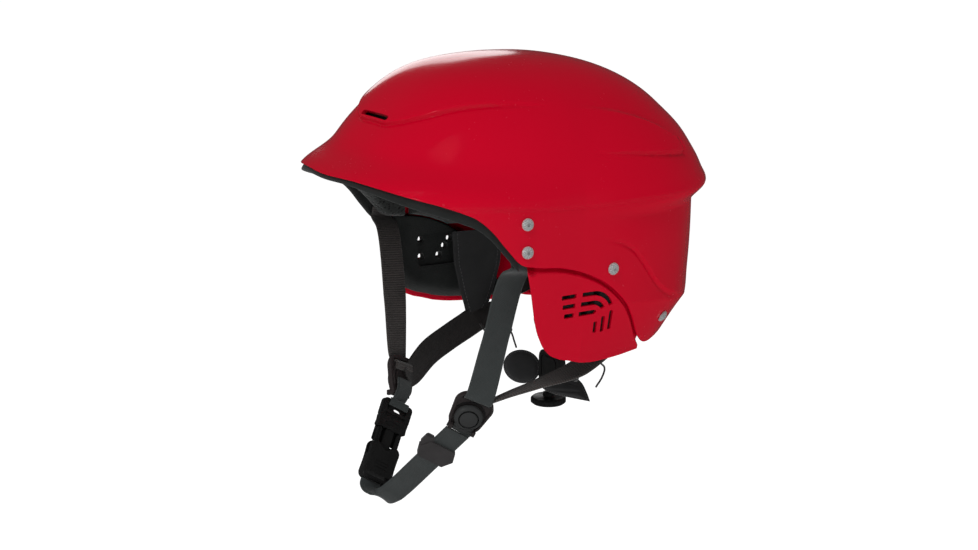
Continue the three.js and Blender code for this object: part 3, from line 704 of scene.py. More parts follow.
def layer(name, material, top, bottom, outer, inner, turns=None, step=2.5, radius=1.0, shape=None, crisp=2.0,
          side="left"):
    """A closed layer with rounded edges. turns is its first and last column, or None for all the way round
    from the crown. outer and inner are offsets by (turn, lift), and shape adds to both."""
    ring = turns is None
    if ring:
        columns = -180 + 360 * np.arange(round(360 * ARC / step)) / round(360 * ARC / step)
        margin = np.full(len(columns), 1e9)
    else:
        length = (turns[1] - turns[0]) * ARC
        along = edge_spaced(length, step, radius)
        columns = turns[0] + along / ARC
        margin = np.minimum(along, length - along)
    tops, bottoms = np.array([top(t) for t in columns], float), np.array([bottom(t) for t in columns], float)
    tallest = float((tops - bottoms).max()) * ARC
    count = len(edge_spaced(tallest, step, radius))
    grid_turn, grid_lift, grid_edge = [], [], []
    for turn, high, low, gap in zip(columns, tops, bottoms, margin):
        height = max((high - low) * ARC, 2.5 * radius)
        spots = edge_spaced(height, (height - 2 * radius) / (count - 9), radius)
        if ring:
            spots = np.concatenate([np.linspace(0, radius, 5), spots[5:]])
        spots = np.interp(np.linspace(0, 1, count), np.linspace(0, 1, len(spots)), spots)
        near_top = np.full(count, 1e9) if ring else spots
        grid_turn.append(np.full(count, turn))
        grid_lift.append(high + (low - high) * spots / height)
        grid_edge.append(np.minimum(np.minimum(near_top, height - spots), gap))
    turn, lift, edge = map(np.array, (grid_turn, grid_lift, grid_edge))
    full = swell(edge, radius, crisp)
    high_side, low_side = outer(turn, lift), inner(turn, lift)
    middle, half = (high_side + low_side) / 2, (high_side - low_side) / 2
    extra = shape(turn, lift) if shape else 0
    base = surface_radius(turn, lift) + extra
    sheets = [polar(turn, lift, base + middle + sign * half * full) for sign in (1, -1)]
    number = len(columns) * count
    points = np.concatenate([s.reshape(-1, 3) for s in sheets])
    faces = []
    spans = len(columns) if ring else len(columns) - 1
    for i in range(spans):
        a, b = i * count, ((i + 1) % len(columns)) * count
        for j in range(count - 1):
            faces.append((a + j, a + j + 1, b + j + 1, b + j))
            faces.append((number + a + j, number + b + j, number + b + j + 1, number + a + j + 1))
    return make_mesh(name, points if side == "left" else mirrored(points), faces, material)


def flat(value):
    return lambda turn, lift=None: np.full(np.shape(turn), float(value))


# ---------- floor and light ----------
WORLD_LIGHT = 0.34
WORLD_MIRRORED = 0.05


def make_floor():
    sides, reach = 96, 14
    low = CAD_BOX[0].z - 0.42
    points = [(reach * math.cos(2 * math.pi * i / sides), reach * math.sin(2 * math.pi * i / sides), low)
              for i in range(sides)]
    floor = make_mesh("floor", np.array(points) / MM, [tuple(range(sides))], floor_finish())
    floor.visible_glossy = False
    floor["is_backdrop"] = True


def floor_finish():
    f = Finish("pale_floor", 0.95, specular=0.1)
    f.colours(f.noise(1.5, 2), (0.93, 0.93, 0.93), (0.95, 0.95, 0.95))
    f.shader.inputs["Emission Color"].default_value = (1, 1, 1, 1)
    f.shader.inputs["Emission Strength"].default_value = 0.35
    return f.material


def add_light(name, kind, azimuth, elevation, distance, energy, size, glossy=True):
    data = bpy.data.lights.new(name, kind)
    data.energy = energy
    if kind == "AREA":
        data.shape = "DISK"
        data.size = size
    else:
        data.angle = math.radians(size)
    lamp = bpy.data.objects.new(name, data)
    lamp.rotation_mode = "QUATERNION"
    lamp.location, lamp.rotation_quaternion = look(azimuth, elevation, distance, (0, 0, -0.05))
    lamp.visible_glossy = glossy
    bpy.context.scene.collection.objects.link(lamp)


def make_light():
    world = bpy.data.worlds.new("studio")
    world.use_nodes = True
    tree = world.node_tree
    seen = tree.nodes.new("ShaderNodeLightPath")
    strength = tree.nodes.new("ShaderNodeMix")
    strength.inputs["A"].default_value = WORLD_LIGHT
    strength.inputs["B"].default_value = 1.0
    tree.links.new(seen.outputs["Is Camera Ray"], strength.inputs["Factor"])
    mirror = tree.nodes.new("ShaderNodeMix")
    mirror.inputs["B"].default_value = WORLD_MIRRORED
    tree.links.new(seen.outputs["Is Glossy Ray"], mirror.inputs["Factor"])
    tree.links.new(strength.outputs["Result"], mirror.inputs["A"])
    tree.nodes["Background"].inputs["Color"].default_value = (1, 1, 1, 1)
    tree.links.new(mirror.outputs["Result"], tree.nodes["Background"].inputs["Strength"])
    bpy.context.scene.world = world
    bpy.context.scene.view_settings.view_transform = "Standard"
    add_light("key_sun", "SUN", 25, 55, 3, 1.55, size=22, glossy=False)
    add_light("left_box", "AREA", -112, 14, 1.9, 1.9, size=0.7)
    add_light("brow_box", "AREA", 32, 10, 2.4, 2.5, size=0.08)
    add_light("low_fill", "AREA", 70, -12, 2.0, 5, size=1.2, glossy=False)


make_floor()
make_light()


# ---------- laces of the rear cradle ----------
LACE_RADIUS = 0.7
LACE_ROUTES = {
    "right_front": [(-66, 22, -110), (-61, 26, -119), (-54, 29, -125), (-46, 28.5, -127), (-41, 27, -129.5)],
    "right_rear": [(-57, 36, -106), (-58, 42, -114), (-56, 44, -119), (-48, 41, -122), (-36, 35.5, -123.5)],
    "left_front": [(66, 22, -110), (60, 27, -120), (50, 32, -127), (38, 36, -129), (27, 41, -130)],
    "left_rear": [(57, 38, -106), (57, 47, -114), (53, 54, -120), (47, 56, -129), (42.5, 54, -137)],
}


def tube(name, centres, radius, material):
    """A round cord along a line, with closed ends and a shallow braid in its surface."""
    sides, strands, twist, braid = 14, 3, 60, 0.07
    centres = np.asarray(centres, float)
    along = np.gradient(centres, axis=0)
    along /= np.linalg.norm(along, axis=1, keepdims=True)
    side = unit(np.cross(along[0], (0.3, 0.2, 1)))
    points = []
    for i, (centre, way) in enumerate(zip(centres, along)):
        side = unit(side - way * side.dot(way))
        other = np.cross(way, side)
        for k in range(sides):
            a = 2 * math.pi * k / sides
            r = radius * (1 + braid * math.cos(strands * a + twist * i / len(centres)))
            points.append(centre + (side * math.cos(a) + other * math.sin(a)) * r)
    faces = []
    for i in range(len(centres) - 1):
        for k in range(sides):
            a, b = i * sides + k, i * sides + (k + 1) % sides
            faces.append((a, b, b + sides, a + sides))
    last = (len(centres) - 1) * sides
    faces += [tuple(reversed(range(sides))), tuple(range(last, last + sides))]
    return make_mesh(name, points, faces, material, sharp=60)


def make_bead(centres, start, end):
    """The stopper bead on the rear right lace."""
    at = len(centres) // 3
    frame = frame_at(centres[at], centres[at + 1] - centres[at - 1], (0, 1, 0))
    outside = [(0.6 + 1.5 * math.sin(a), -2.1 * math.cos(a)) for a in np.radians(range(0, 181, 12))]
    profile = [(0.75, -2.1)] + outside[1:-1] + [(0.75, 2.1), (0.75, -2.1)]
    bead = form("lace_bead", frame, turned(profile, 32), PLASTIC)
    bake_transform(bead)
    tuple(start)
    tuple(end)
    return bead


def make_laces():
    for name, route in LACE_ROUTES.items():
        centres = line_through(route, 72)
        lace = tube(f"{name}_lace_cord", centres, LACE_RADIUS, CORD)
        start, end = tuple(centres[0] * MM), tuple(centres[-1] * MM)
        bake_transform(lace)
        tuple(start)
        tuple(end)
        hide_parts(f"{name}_lace")
        beads = [make_bead(centres, start, end)] if name == "right_rear" else []
        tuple(start)


make_laces()


# ---------- shell and ear covers ----------
# Each screw: its turn and lift on the shell, and how deep its nut lies.
FASTENERS = {
    "front_upper": (-23, 2.2, 8.6), "front_lower": (-23, -6.8, 8.6),
    "side": (12.2, -17, 6.6), "nape": (44, -34, 8),
}
SCREW_HOLE = 2.4
BROW_VENT = {"turn": -90, "lift": 33.5, "length": 36, "height": 3.8}
EAR_VENT = {"turn": 4.5, "lift": -31.6, "slot": 3.1}
VENT_PATHS = [
    {"radius": 16, "arc": (-9, 22), "dash": (-26, -14), "upright": (1.8, -12)},
    {"radius": 9.5, "arc": (-10, 30), "dash": (-25, -14.5), "upright": (-1.5, -12.7)},
    {"radius": 3, "arc": (-11.5, 45), "dash": (-23.5, -15.5), "upright": (-4.3, -12.2)},
]


def on_side(matrix, side):
    return matrix if side == "left" else flipped(matrix)


def screw_holes(names, sides=SIDES):
    """Cutters for the holes that the named screws pass through."""
    return [form("hole", on_side(surface_frame(*FASTENERS[name][:2]), side), prism(circle(SCREW_HOLE), -16, 6))
            for side in sides for name in names]


def make_shell():
    shell = layer("outer_shell_skin", RED, flat(90), shell_rim, flat(0), flat(-SHELL_THICK),
                  step=1.25, radius=0.9, shape=relief)
    vent_frame = surface_frame(BROW_VENT["turn"], BROW_VENT["lift"])
    vent = form("vent", vent_frame, prism(rounded_box(BROW_VENT["length"], BROW_VENT["height"], 1.6), -12, 8))
    combine(shell, screw_holes(FASTENERS) + [vent])
    follow_surface(shell, lambda turn, lift: surface_radius(turn, lift) + relief(turn, lift))
    finished(shell, "root", "shell_red", "outer_shell")


def vent_outlines():
    half = EAR_VENT["slot"] / 2
    for path in VENT_PATHS:
        radius, (start, stop) = path["radius"], path["arc"]
        outer, inner = [arc(radius + out, 90, stop, 13) for out in (half, -half)]
        yield [(start, radius + half)] + outer + inner[::-1] + [(start, radius - half)]
        left, right = path["dash"]
        yield rounded_box(right - left, 2 * half, 0.7, ((left + right) / 2, radius), 3)
        high, low = path["upright"]
        yield rounded_box(2 * half, high - low, 0.7, (radius, (high + low) / 2), 3)


def cover_depth(turn, lift):
    below = shell_rim(turn) - lift
    return -TUCK_DEPTH + (TUCK_DEPTH - COVER_SUNK) * smooth(below, 0.75, 1.7)


def wrapped(turn):
    return (np.asarray(turn, float) + 180) % 360 - 180


def make_ear_cover(side):
    def top(turn):
        return shell_rim(turn) + COVER_TUCK

    def inner(turn, lift):
        return cover_depth(turn, lift) - COVER_THICK

    cover = layer(f"{side}_ear_cover_skin", RED, top, ear_edge, cover_depth, inner, turns=(-22.7, 36.8),
                  step=0.8, radius=1.1, side=side)
    vents = surface_frame(EAR_VENT["turn"], EAR_VENT["lift"])
    tools = [form("slot", on_side(vents, side), prism(outline, -9, 6)) for outline in vent_outlines()]
    combine(cover, tools + screw_holes(("front_lower", "side"), (side,)))

    def radius_of(turn, lift):
        own = wrapped(turn if side == "left" else 180 - turn)
        return surface_radius(own, lift) + cover_depth(own, lift)

    follow_surface(cover, radius_of)
    finished(cover, "root", "shell_red", f"{side}_ear_cover")


def make_fasteners(side):
    for name, (turn, lift, nut) in FASTENERS.items():
        frame = on_side(surface_frame(turn, lift), side)
        dome = [(4.2 * math.cos(a), 0.75 + 1.95 * math.sin(a)) for a in np.radians(range(0, 86, 7))]
        profile = [(0, -nut - 1.6), (2, -nut - 1.6), (2, 0.3), (4.2, 0.3)] + dome + [(0, 2.7)]
        recess = prism(circle(1.45, 6), 1.3, 4)
        screw = moulded(f"{side}_{name}_screw_head", frame, [turned(profile, 40)], [recess], STEEL,
                        bevel=0.16, segments=2)
        finished(screw, "root", "steel", f"{side}_{name}_screw")
        ring = moulded(f"{side}_{name}_nut_hex", frame, [prism(circle(4.5, 6), -nut - 1.6, -nut)],
                       [prism(circle(2.3), -nut - 3, -nut + 2)], STEEL, bevel=0.25, segments=2)
        finished(ring, "root", "steel", f"{side}_{name}_nut")


make_shell()
for side in SIDES:
    make_ear_cover(side)
    make_fasteners(side)


# ---------- foam ----------
CHANNEL_WIDTH = 2.2
PAD_HOLES = [(-20, 16), (-20, 3), (4.5, 15), (0, 9.5), (-5, 3)]


def channels(pitch, levels, depth=2.2):
    """Grooves in the head side of a liner: upright ones at a pitch in turn, and level ones at given lifts."""
    def inner(turn, lift):
        off = np.abs((np.asarray(turn) + pitch / 2) % pitch - pitch / 2) * ARC
        groove = 1 - smooth(off * np.cos(np.radians(lift)), 0, CHANNEL_WIDTH)
        for level in levels:
            groove = np.maximum(groove, 1 - smooth(np.abs(np.asarray(lift) - level) * ARC, 0, CHANNEL_WIDTH))
        return -FOAM_BACK + depth * groove
    return inner


def foam_drop(turn):
    """How far the foam hangs below the brim, in degrees: little at the peak, more beside the temples."""
    return 1.3 + 2.0 * smooth(round_from_front(turn), 5, 50)


def make_rim_strip():
    """The thin foam edging inside the brim, between the two front anchors."""
    strip = layer("rim_strip_foam", FOAM, lambda t: shell_rim(t) + 9, lambda t: shell_rim(t) - foam_drop(t),
                  flat(-3.05), flat(-6.3), turns=(-154.5, -25.5), step=1.6, radius=1.4)
    finished(strip, "root", "foam", fill=0.9)


def make_nape_lining():
    """The thin foam behind the rear liner, down to the nape, with holes for the nape screws."""
    lining = layer("nape_lining_foam", FOAM, flat(-8), lambda t: shell_rim(t) + 1.2, flat(-3.05), flat(-5.1),
                   turns=(38, 142), step=1.8, radius=0.9)
    combine(lining, screw_holes(["nape"]))
    shade(lining, 40)
    finished(lining, "root", "foam", fill=0.9)


def brow_front(turn, lift):
    """The shell side of the brow liner, which steps in beside the front anchors and their nuts."""
    return -6.6 - 4.4 * smooth(round_from_front(turn), 54, 60)


def side_foot(turn):
    """The lower edge of a side liner: it follows the rim, clear of the wing, and drops behind it."""
    highest, lowest, behind_wing = -11, -21.5, -28.5
    if turn > 10:
        return lowest + (behind_wing - lowest) * smooth(turn, 37, 44)
    return min(max(shell_rim(turn) - 1.5, lowest), highest)


def make_liners():
    plain = flat(-FOAM_FRONT)
    crown = layer("crown_liner_pad", LINING, flat(90), flat(47), plain, channels(30, (68,)),
                  step=2.2, radius=3, crisp=3)
    finished(crown, "root", "foam", "crown_liner", fill=0.9)
    brow = layer("brow_liner_pad", LINING, flat(45), lambda t: shell_rim(t) - 0.7 * foam_drop(t), brow_front,
                 channels(29, (28,)), turns=(-163, -17), step=1.8, radius=2.6, crisp=3)
    finished(brow, "root", "foam", "brow_liner", fill=0.9)
    rear = layer("rear_liner_pad", LINING, flat(45), flat(-28), plain, channels(25.4, (20, -4)),
                 turns=(52, 128), step=1.8, radius=3, crisp=3)
    finished(rear, "root", "foam", "rear_liner", fill=0.9)
    for side in SIDES:
        band = layer(f"{side}_side_liner_pad", LINING, flat(45), side_foot, flat(-SIDE_FOAM_FRONT),
                     channels(26.5, (18,), 1.6), turns=(-13, 51), step=1.8, radius=3, crisp=3, side=side)
        finished(band, "root", "foam", f"{side}_side_liner", fill=0.9)


def pad_back(turn, lift):
    """The head side of an ear pad, which thins out towards the nape."""
    return -16 + 6 * smooth(turn, 24, 30)


def make_ear_pad(side):
    def top(turn):
        return np.minimum(shell_rim(turn) - 2, -14)

    def bottom(turn):
        return ear_edge(turn) + 0.3

    pad = layer(f"{side}_ear_pad_foam", FOAM, top, bottom, flat(-3.6), pad_back, turns=(-19, 33.5),
                step=1.5, radius=2.2, crisp=2.6, side=side)
    frame = on_side(surface_frame(EAR_VENT["turn"], EAR_VENT["lift"]), side)
    recess = prism(rounded_box(34, 24, 3.5, (-7, 8)), -30, -11.5)
    holes = [prism(circle(2.9, 24, spot), -30, 6) for spot in PAD_HOLES]
    combine(pad, [form("cut", frame, shape) for shape in [recess] + holes])
    shade(pad, 40)
    finished(pad, "root", "foam", f"{side}_ear_pad", fill=0.9)


make_rim_strip()
make_nape_lining()
make_liners()
for side in SIDES:
    make_ear_pad(side)


# ---------- webbing ----------
def ribbon(name, stations, material, width=20, thick=1.6, count=90, side="left", hem=0.0):
    """A woven strap. Each station is a point, the way its width points, and its width if it differs."""
    spots = [s[0] for s in stations]
    ways = np.array([s[1] for s in stations], float)
    widths = [s[2] if len(s) > 2 else width for s in stations]
    line = line_through(spots, count)
    along = np.gradient(line, axis=0)
    along /= np.linalg.norm(along, axis=1, keepdims=True)
    run = np.concatenate([[0], np.cumsum(np.linalg.norm(np.diff(line, axis=0), axis=1))])
    t = np.linspace(0, len(stations) - 1, count + 1)
    wide = np.stack([np.interp(t, range(len(stations)), ways[:, k]) for k in range(3)], axis=1)
    wide -= along * (wide * along).sum(1, keepdims=True)
    wide /= np.linalg.norm(wide, axis=1, keepdims=True)
    face = np.cross(along, wide)
    full = np.interp(t, range(len(stations)), widths) / 2
    half = thick / 2
    across = np.linspace(-1, 1, 15)
    section = []
    for sign in (1, -1):
        for a in across * sign:
            section.append((a, sign * (1 + hem * (abs(a) > 0.8) - 0.06 * (0.55 < abs(a) < 0.8))))
        section.append((sign * 1.0, 0.0))
    points, where = [], []
    for centre, w, f, reach, s in zip(line, wide, face, full, run):
        for a, b in section:
            edge = reach - half * 0.9
            spot = a * edge + (math.copysign(half * 0.9, a) if b == 0 else 0)
            points.append(centre + w * spot + f * half * b)
            where.append((s * MM, spot * MM))
    n = len(section)
    faces = [(i * n + k, i * n + (k + 1) % n, (i + 1) * n + (k + 1) % n, (i + 1) * n + k)
             for i in range(count) for k in range(n)]
    faces += [tuple(reversed(range(n))), tuple(range(count * n, count * n + n))]
    if side == "right":
        points = mirrored(points)
    obj = make_mesh(name, points, faces, material, uvs=[where[v] for f in faces for v in f])
    shade(obj, 50)
    return obj, line, face, wide, full


def stitches(name, path, out, body, slot, side="left", pitch=2.7, length=1.9, radius=0.26):
    """A row of stitches lying on a surface: path runs along it and out points away from it."""
    path, out = np.asarray(path, float), np.asarray(out, float)
    run = np.concatenate([[0], np.cumsum(np.linalg.norm(np.diff(path, axis=0), axis=1))])
    points, faces, sides = [], [], 6
    spot = pitch * 0.3
    while spot + length < run[-1]:
        rings = []
        for part, size in ((0, 0.25), (0.12, 0.8), (0.5, 1), (0.88, 0.8), (1, 0.25)):
            at = np.array([np.interp(spot + part * length, run, path[:, k]) for k in range(3)])
            up = unit([np.interp(spot + part * length, run, out[:, k]) for k in range(3)])
            rings.append((at + up * radius * (0.5 * size - 0.25), up, radius * size))
        way = unit(rings[-1][0] - rings[0][0])
        base = len(points)
        for at, up, size in rings:
            over = np.cross(way, up)
            points += [at + (up * math.cos(a) + over * math.sin(a)) * size
                       for a in np.arange(sides) * 2 * math.pi / sides]
        for low in range(base, base + 4 * sides, sides):
            faces += [(low + k, low + (k + 1) % sides, low + (k + 1) % sides + sides, low + k + sides)
                      for k in range(sides)]
        last = base + 4 * sides
        faces += [tuple(reversed(range(base, base + sides))), tuple(range(last, last + sides))]
        spot += pitch
    if side == "right":
        points = mirrored(points)
    return finished(make_mesh(name, points, faces, THREAD), body, slot)


ADJUSTER_FRAME = frame_at((50, -55, -136), (0.835, -0.47, -0.285), (0.44, 0.26, 0.86))
ADJUSTER_ACROSS, ADJUSTER_UP = tuple(ADJUSTER_FRAME[:3, 0]), tuple(ADJUSTER_FRAME[:3, 1])


def in_adjuster(x, y, z):
    return into(ADJUSTER_FRAME, [(x, y, z)])[0]


# Each strap comes down over the adjuster's top bar and through its slot.
FRONT_STRAP = [
    (surface_point(-23, -9.6, -9.4), (0.3, 1, -0.05)), (surface_point(-23, -13.4, -8.2), (0.3, 1, -0.05)),
    ((88, -44, -34), (0.15, 1, -0.1)), ((71.5, -47.6, -80), (0.1, 1, -0.15)),
    (in_adjuster(0, 14.2, 2.9), ADJUSTER_ACROSS),
    (in_adjuster(0, 11.2, 1.9), ADJUSTER_ACROSS), (in_adjuster(0, 10.4, -0.8), ADJUSTER_ACROSS),
    (in_adjuster(0, 9.4, -3.0), ADJUSTER_ACROSS), (in_adjuster(0, 4, -3.2), ADJUSTER_ACROSS),
]
STRAP_END = [((73, 42, -97), (0.8, -0.4, -0.5), 20), (surface_point(42, -39.8, -11.5), (0.6, -0.75, 0.1), 20)]
REAR_STRAPS = {
    "left": [
        (in_adjuster(7, 10.5, -1.0), (1, -0.35, 0.1), 6), (in_adjuster(11, 15.5, -1.4), (1, -0.35, 0.1), 10),
        ((62.6, -32, -123.6), (1, -0.35, 0.1), 14), ((66, -10, -118.6), (1, -0.25, 0.05), 19),
        ((71, 19, -110.5), (1, -0.2, -0.3), 20), *STRAP_END,
    ],
    "right": [
        (in_adjuster(3, -1, -3.2), ADJUSTER_UP, 16), (in_adjuster(10, 4, -3.0), ADJUSTER_UP, 18),
        ((61.5, -25, -125), (0.3, 0.0, 1), 20), ((67, -4, -117), (0.25, -0.1, 1), 20),
        ((71, 19, -108.5), (0.3, -0.15, 1), 20), *STRAP_END,
    ],
}
TAILS = {
    "left": [(0, -3, -3.7), (0, -10, -3.7), (-0.2, -15.6, -1.6), (-0.5, -18.0, -0.4)],
    "right": [(0, -3, -3.7), (-0.5, -10, -3.7), (-1, -16.4, -1.0), (-1.5, -19.3, 1.6)],
}
WING = [
    ((83, 30, -42), (-0.05, -1, 0.1), 46), ((82, 29, -68), (-0.05, -1, 0.1), 42),
    ((78, 25, -92), (-0.1, -1, 0.15), 28), ((73.5, 20.5, -104), (-0.1, -1, 0.2), 15),
]


def make_straps(side):
    near = side == "left"
    front, *_ = ribbon(f"{side}_front_strap_weave", FRONT_STRAP, WEBBING if near else WEBBING_RIBBED, count=200,
                       side=side, hem=0.08)
    finished(front, "root", "webbing", f"{side}_front_strap")
    rear, *_ = ribbon(f"{side}_rear_strap_weave", REAR_STRAPS[side], WEBBING_RIBBED if near else WEBBING_DARK,
                      count=140, side=side, hem=0.08)
    finished(rear, "root", "webbing", f"{side}_rear_strap")
    spots = [(in_adjuster(*spot), ADJUSTER_ACROSS) for spot in TAILS[side]]
    tail, *_ = ribbon(f"{side}_adjuster_tail", spots, WEBBING, width=19 if near else 16, count=40, side=side)
    # start and end are the tail's second and third spots, in metres.
    start, end = [tuple(in_adjuster(*spot) * (SIDES[side], 1, 1) * MM) for spot in TAILS[side][1:3]]
    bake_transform(tail)
    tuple(start)
    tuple(end)
    wing, line, face, wide, full = ribbon(f"{side}_wing_cloth", WING, FABRIC, thick=2, count=60, side=side,
                                          hem=0.12)
    finished(wing, "root", "fabric", f"{side}_wing")
    for edge, name in ((1, "front"), (-1, "rear")):
        for sheet, sign in (("inner", 1), ("outer", -1)):
            path = line + wide * (edge * (full - 4))[:, None] + face * sign * 1.0
            stitches(f"{side}_wing_{name}_{sheet}_stitch", path, face * sign, "root", "fabric", side)


for side in SIDES:
    make_straps(side)


# ---------- harness anchors ----------
def make_anchors(side):
    front = layer(f"{side}_front_anchor_tab", PLASTIC, flat(6.5), flat(-11), flat(-6.5), flat(-8.2),
                  turns=(-27.4, -18.6), step=1.2, radius=0.8, side=side)
    rear = layer(f"{side}_rear_anchor_tab", PLASTIC, flat(-30), flat(-38), flat(-5.6), flat(-7.4),
                 turns=(39, 49), step=1.2, radius=0.8, side=side)
    for tab, names, node in ((front, ("front_upper", "front_lower"), "front_anchor"),
                             (rear, ("nape",), "rear_anchor")):
        combine(tab, screw_holes(names, (side,)))
        shade(tab, 40)
        finished(tab, "root", "plastic", f"{side}_{node}")


for side in SIDES:
    make_anchors(side)


# ---------- cam adjusters ----------
ADJUSTER_OUTLINE = [(-5, 6, 9), (5, 6, 9), (-4, -7, 8), (4, -7, 8)]


def make_adjuster(side):
    frame = on_side(ADJUSTER_FRAME, side)
    outline = hull_of_circles(ADJUSTER_OUTLINE)
    inset = hull_of_circles([(x, y, r - 1.6) for x, y, r in ADJUSTER_OUTLINE])
    lugs = [box_shape((x - 1.2, x + 1.2), (-14.8, -11.2), (-1, 5.1)) for x in (-8.6, 8.6)]
    arcs = [prism(arc_band(radius, 1.1, -35, 215, (0, -1)), -2.6, -1.7) for radius in (7.5, 11)]
    bodies = [prism(outline, -1.8, 1.8)] + lugs + arcs
    base = moulded(f"{side}_adjuster_plate", frame, bodies, [], UMBER, bevel=0)
    combine(base, [form("recess", frame, prism(inset, 0.9, 1.9))])
    rim = prism(arc_band(11.2, 0.9, 20, 160, (0, -2.5)), 0.4, 1.75)
    combine(base, [form("rim", frame, rim)], "UNION")
    combine(base, [form("strap_slot", frame, prism(rounded_box(21, 2.6, 0.9, (0, 10.5)), -6, 6))])
    soften(base, 0.35)
    finished(base, "root", "plastic", f"{side}_adjuster")

    dome = [(10, 2.3), (10, 3.5)]
    dome += [(10 * math.cos(a), 3.5 + 3.3 * math.sin(a)) for a in np.radians(range(8, 86, 6))]
    lid_profile = [(0, 2.3)] + dome + [(0, 6.8)]
    ring = [(6.2, 5.0), (7.1, 5.0), (7.1, 8.0), (6.2, 8.0), (6.2, 5.0)]
    knuckle_frame = frame @ np.array([[0, 0, 1, -7], [0, 1, 0, -13], [-1, 0, 0, 3.7], [0, 0, 0, 1]], float)
    lid = form(f"{side}_cam_lid", frame, shifted(turned(lid_profile, 56), 0, -2.5, 0), LID)
    combine(lid, [form("neck", frame, box_shape((-7, 7), (-13.4, -8), (2.5, 4.6))),
                  form("knuckle", knuckle_frame, prism(circle(1.4, 24), 0, 14))], "UNION")
    combine(lid, [form("ring", frame, shifted(turned(ring, 56), 0, -2.5, -0.35))])
    soften(lid, 0.25)
    finished(lid, f"cam_{side}", "plastic", f"{side}_cam")


for side in SIDES:
    make_adjuster(side)


# ---------- chin strap ----------
CHIN_START = np.array((41.5, -60.1, -151.7))
CHIN_RUN = unit((-0.595, -0.373, -0.713))
CHIN_WIDE = (0.12, 0.83, -0.53)
BUCKLE_TOP = (-41.4, -61.9, -152.8)
BUCKLE_RUN = unit((0.361, -0.532, -0.766))
BUCKLE_FRAME = frame_at(BUCKLE_TOP, np.cross(BUCKLE_RUN, CHIN_WIDE), -BUCKLE_RUN)
KEEPER_FRAME = frame_at(CHIN_START + 24 * CHIN_RUN, -np.cross(CHIN_RUN, CHIN_WIDE), -CHIN_RUN)


def along_chin(distance):
    return CHIN_START + CHIN_RUN * distance


def in_buckle(x, y, z):
    return into(BUCKLE_FRAME, [(x, y, z)])[0]


def make_chin_webbing():
    spots = [CHIN_START, along_chin(36), along_chin(68), (-3.6, -89.8, -205.4), (-9, -93.5, -208.3),
             (-14, -95.8, -206.3), in_buckle(0, -65.4, 0), in_buckle(0, -62.6, 0)]
    strap, *_ = ribbon("chin_webbing_weave", [(s, CHIN_WIDE) for s in spots], WEBBING, count=160, hem=0.05)
    tuple(in_buckle(0, -62, 0) * MM)
    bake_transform(strap)
    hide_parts("chin_webbing")
    spots = [in_buckle(0, 0.7, 1.6), in_buckle(0, 0.2, 3), in_buckle(0, -2.2, 3.2), in_buckle(0, -4.8, 2.4)]
    loop, *_ = ribbon("plug_webbing_weave", [(s, CHIN_WIDE) for s in spots], WEBBING,
                      width=16, thick=1, count=30)
    finished(loop, "chin_loop", "webbing", "plug_webbing")


def buckle_outline(width, high, low, corner, waist=0.0):
    """A rounded plate between two heights, its sides drawn in by waist at the middle."""
    steps = 16
    plate = rounded_box(width, high - low, corner, (0, (high + low) / 2), 6)
    made = []
    for x, y in plate + [plate[0]]:
        if made and abs(made[-1][0] - x) < 1e-6 and abs(made[-1][1] - y) > 3:
            made += [(x, made[-1][1] + (y - made[-1][1]) * i / steps) for i in range(1, steps)]
        made.append((x, y))
    made.pop()
    reach = (high - low) / 2
    return [(x - math.copysign(waist * (1 - ((y - (high + low) / 2) / reach) ** 2), x), y) for x, y in made]


BARB = [(8.4, -36.2), (11.7, -38), (11.7, -40.4), (9.8, -42), (7.6, -42), (7.6, -37)]


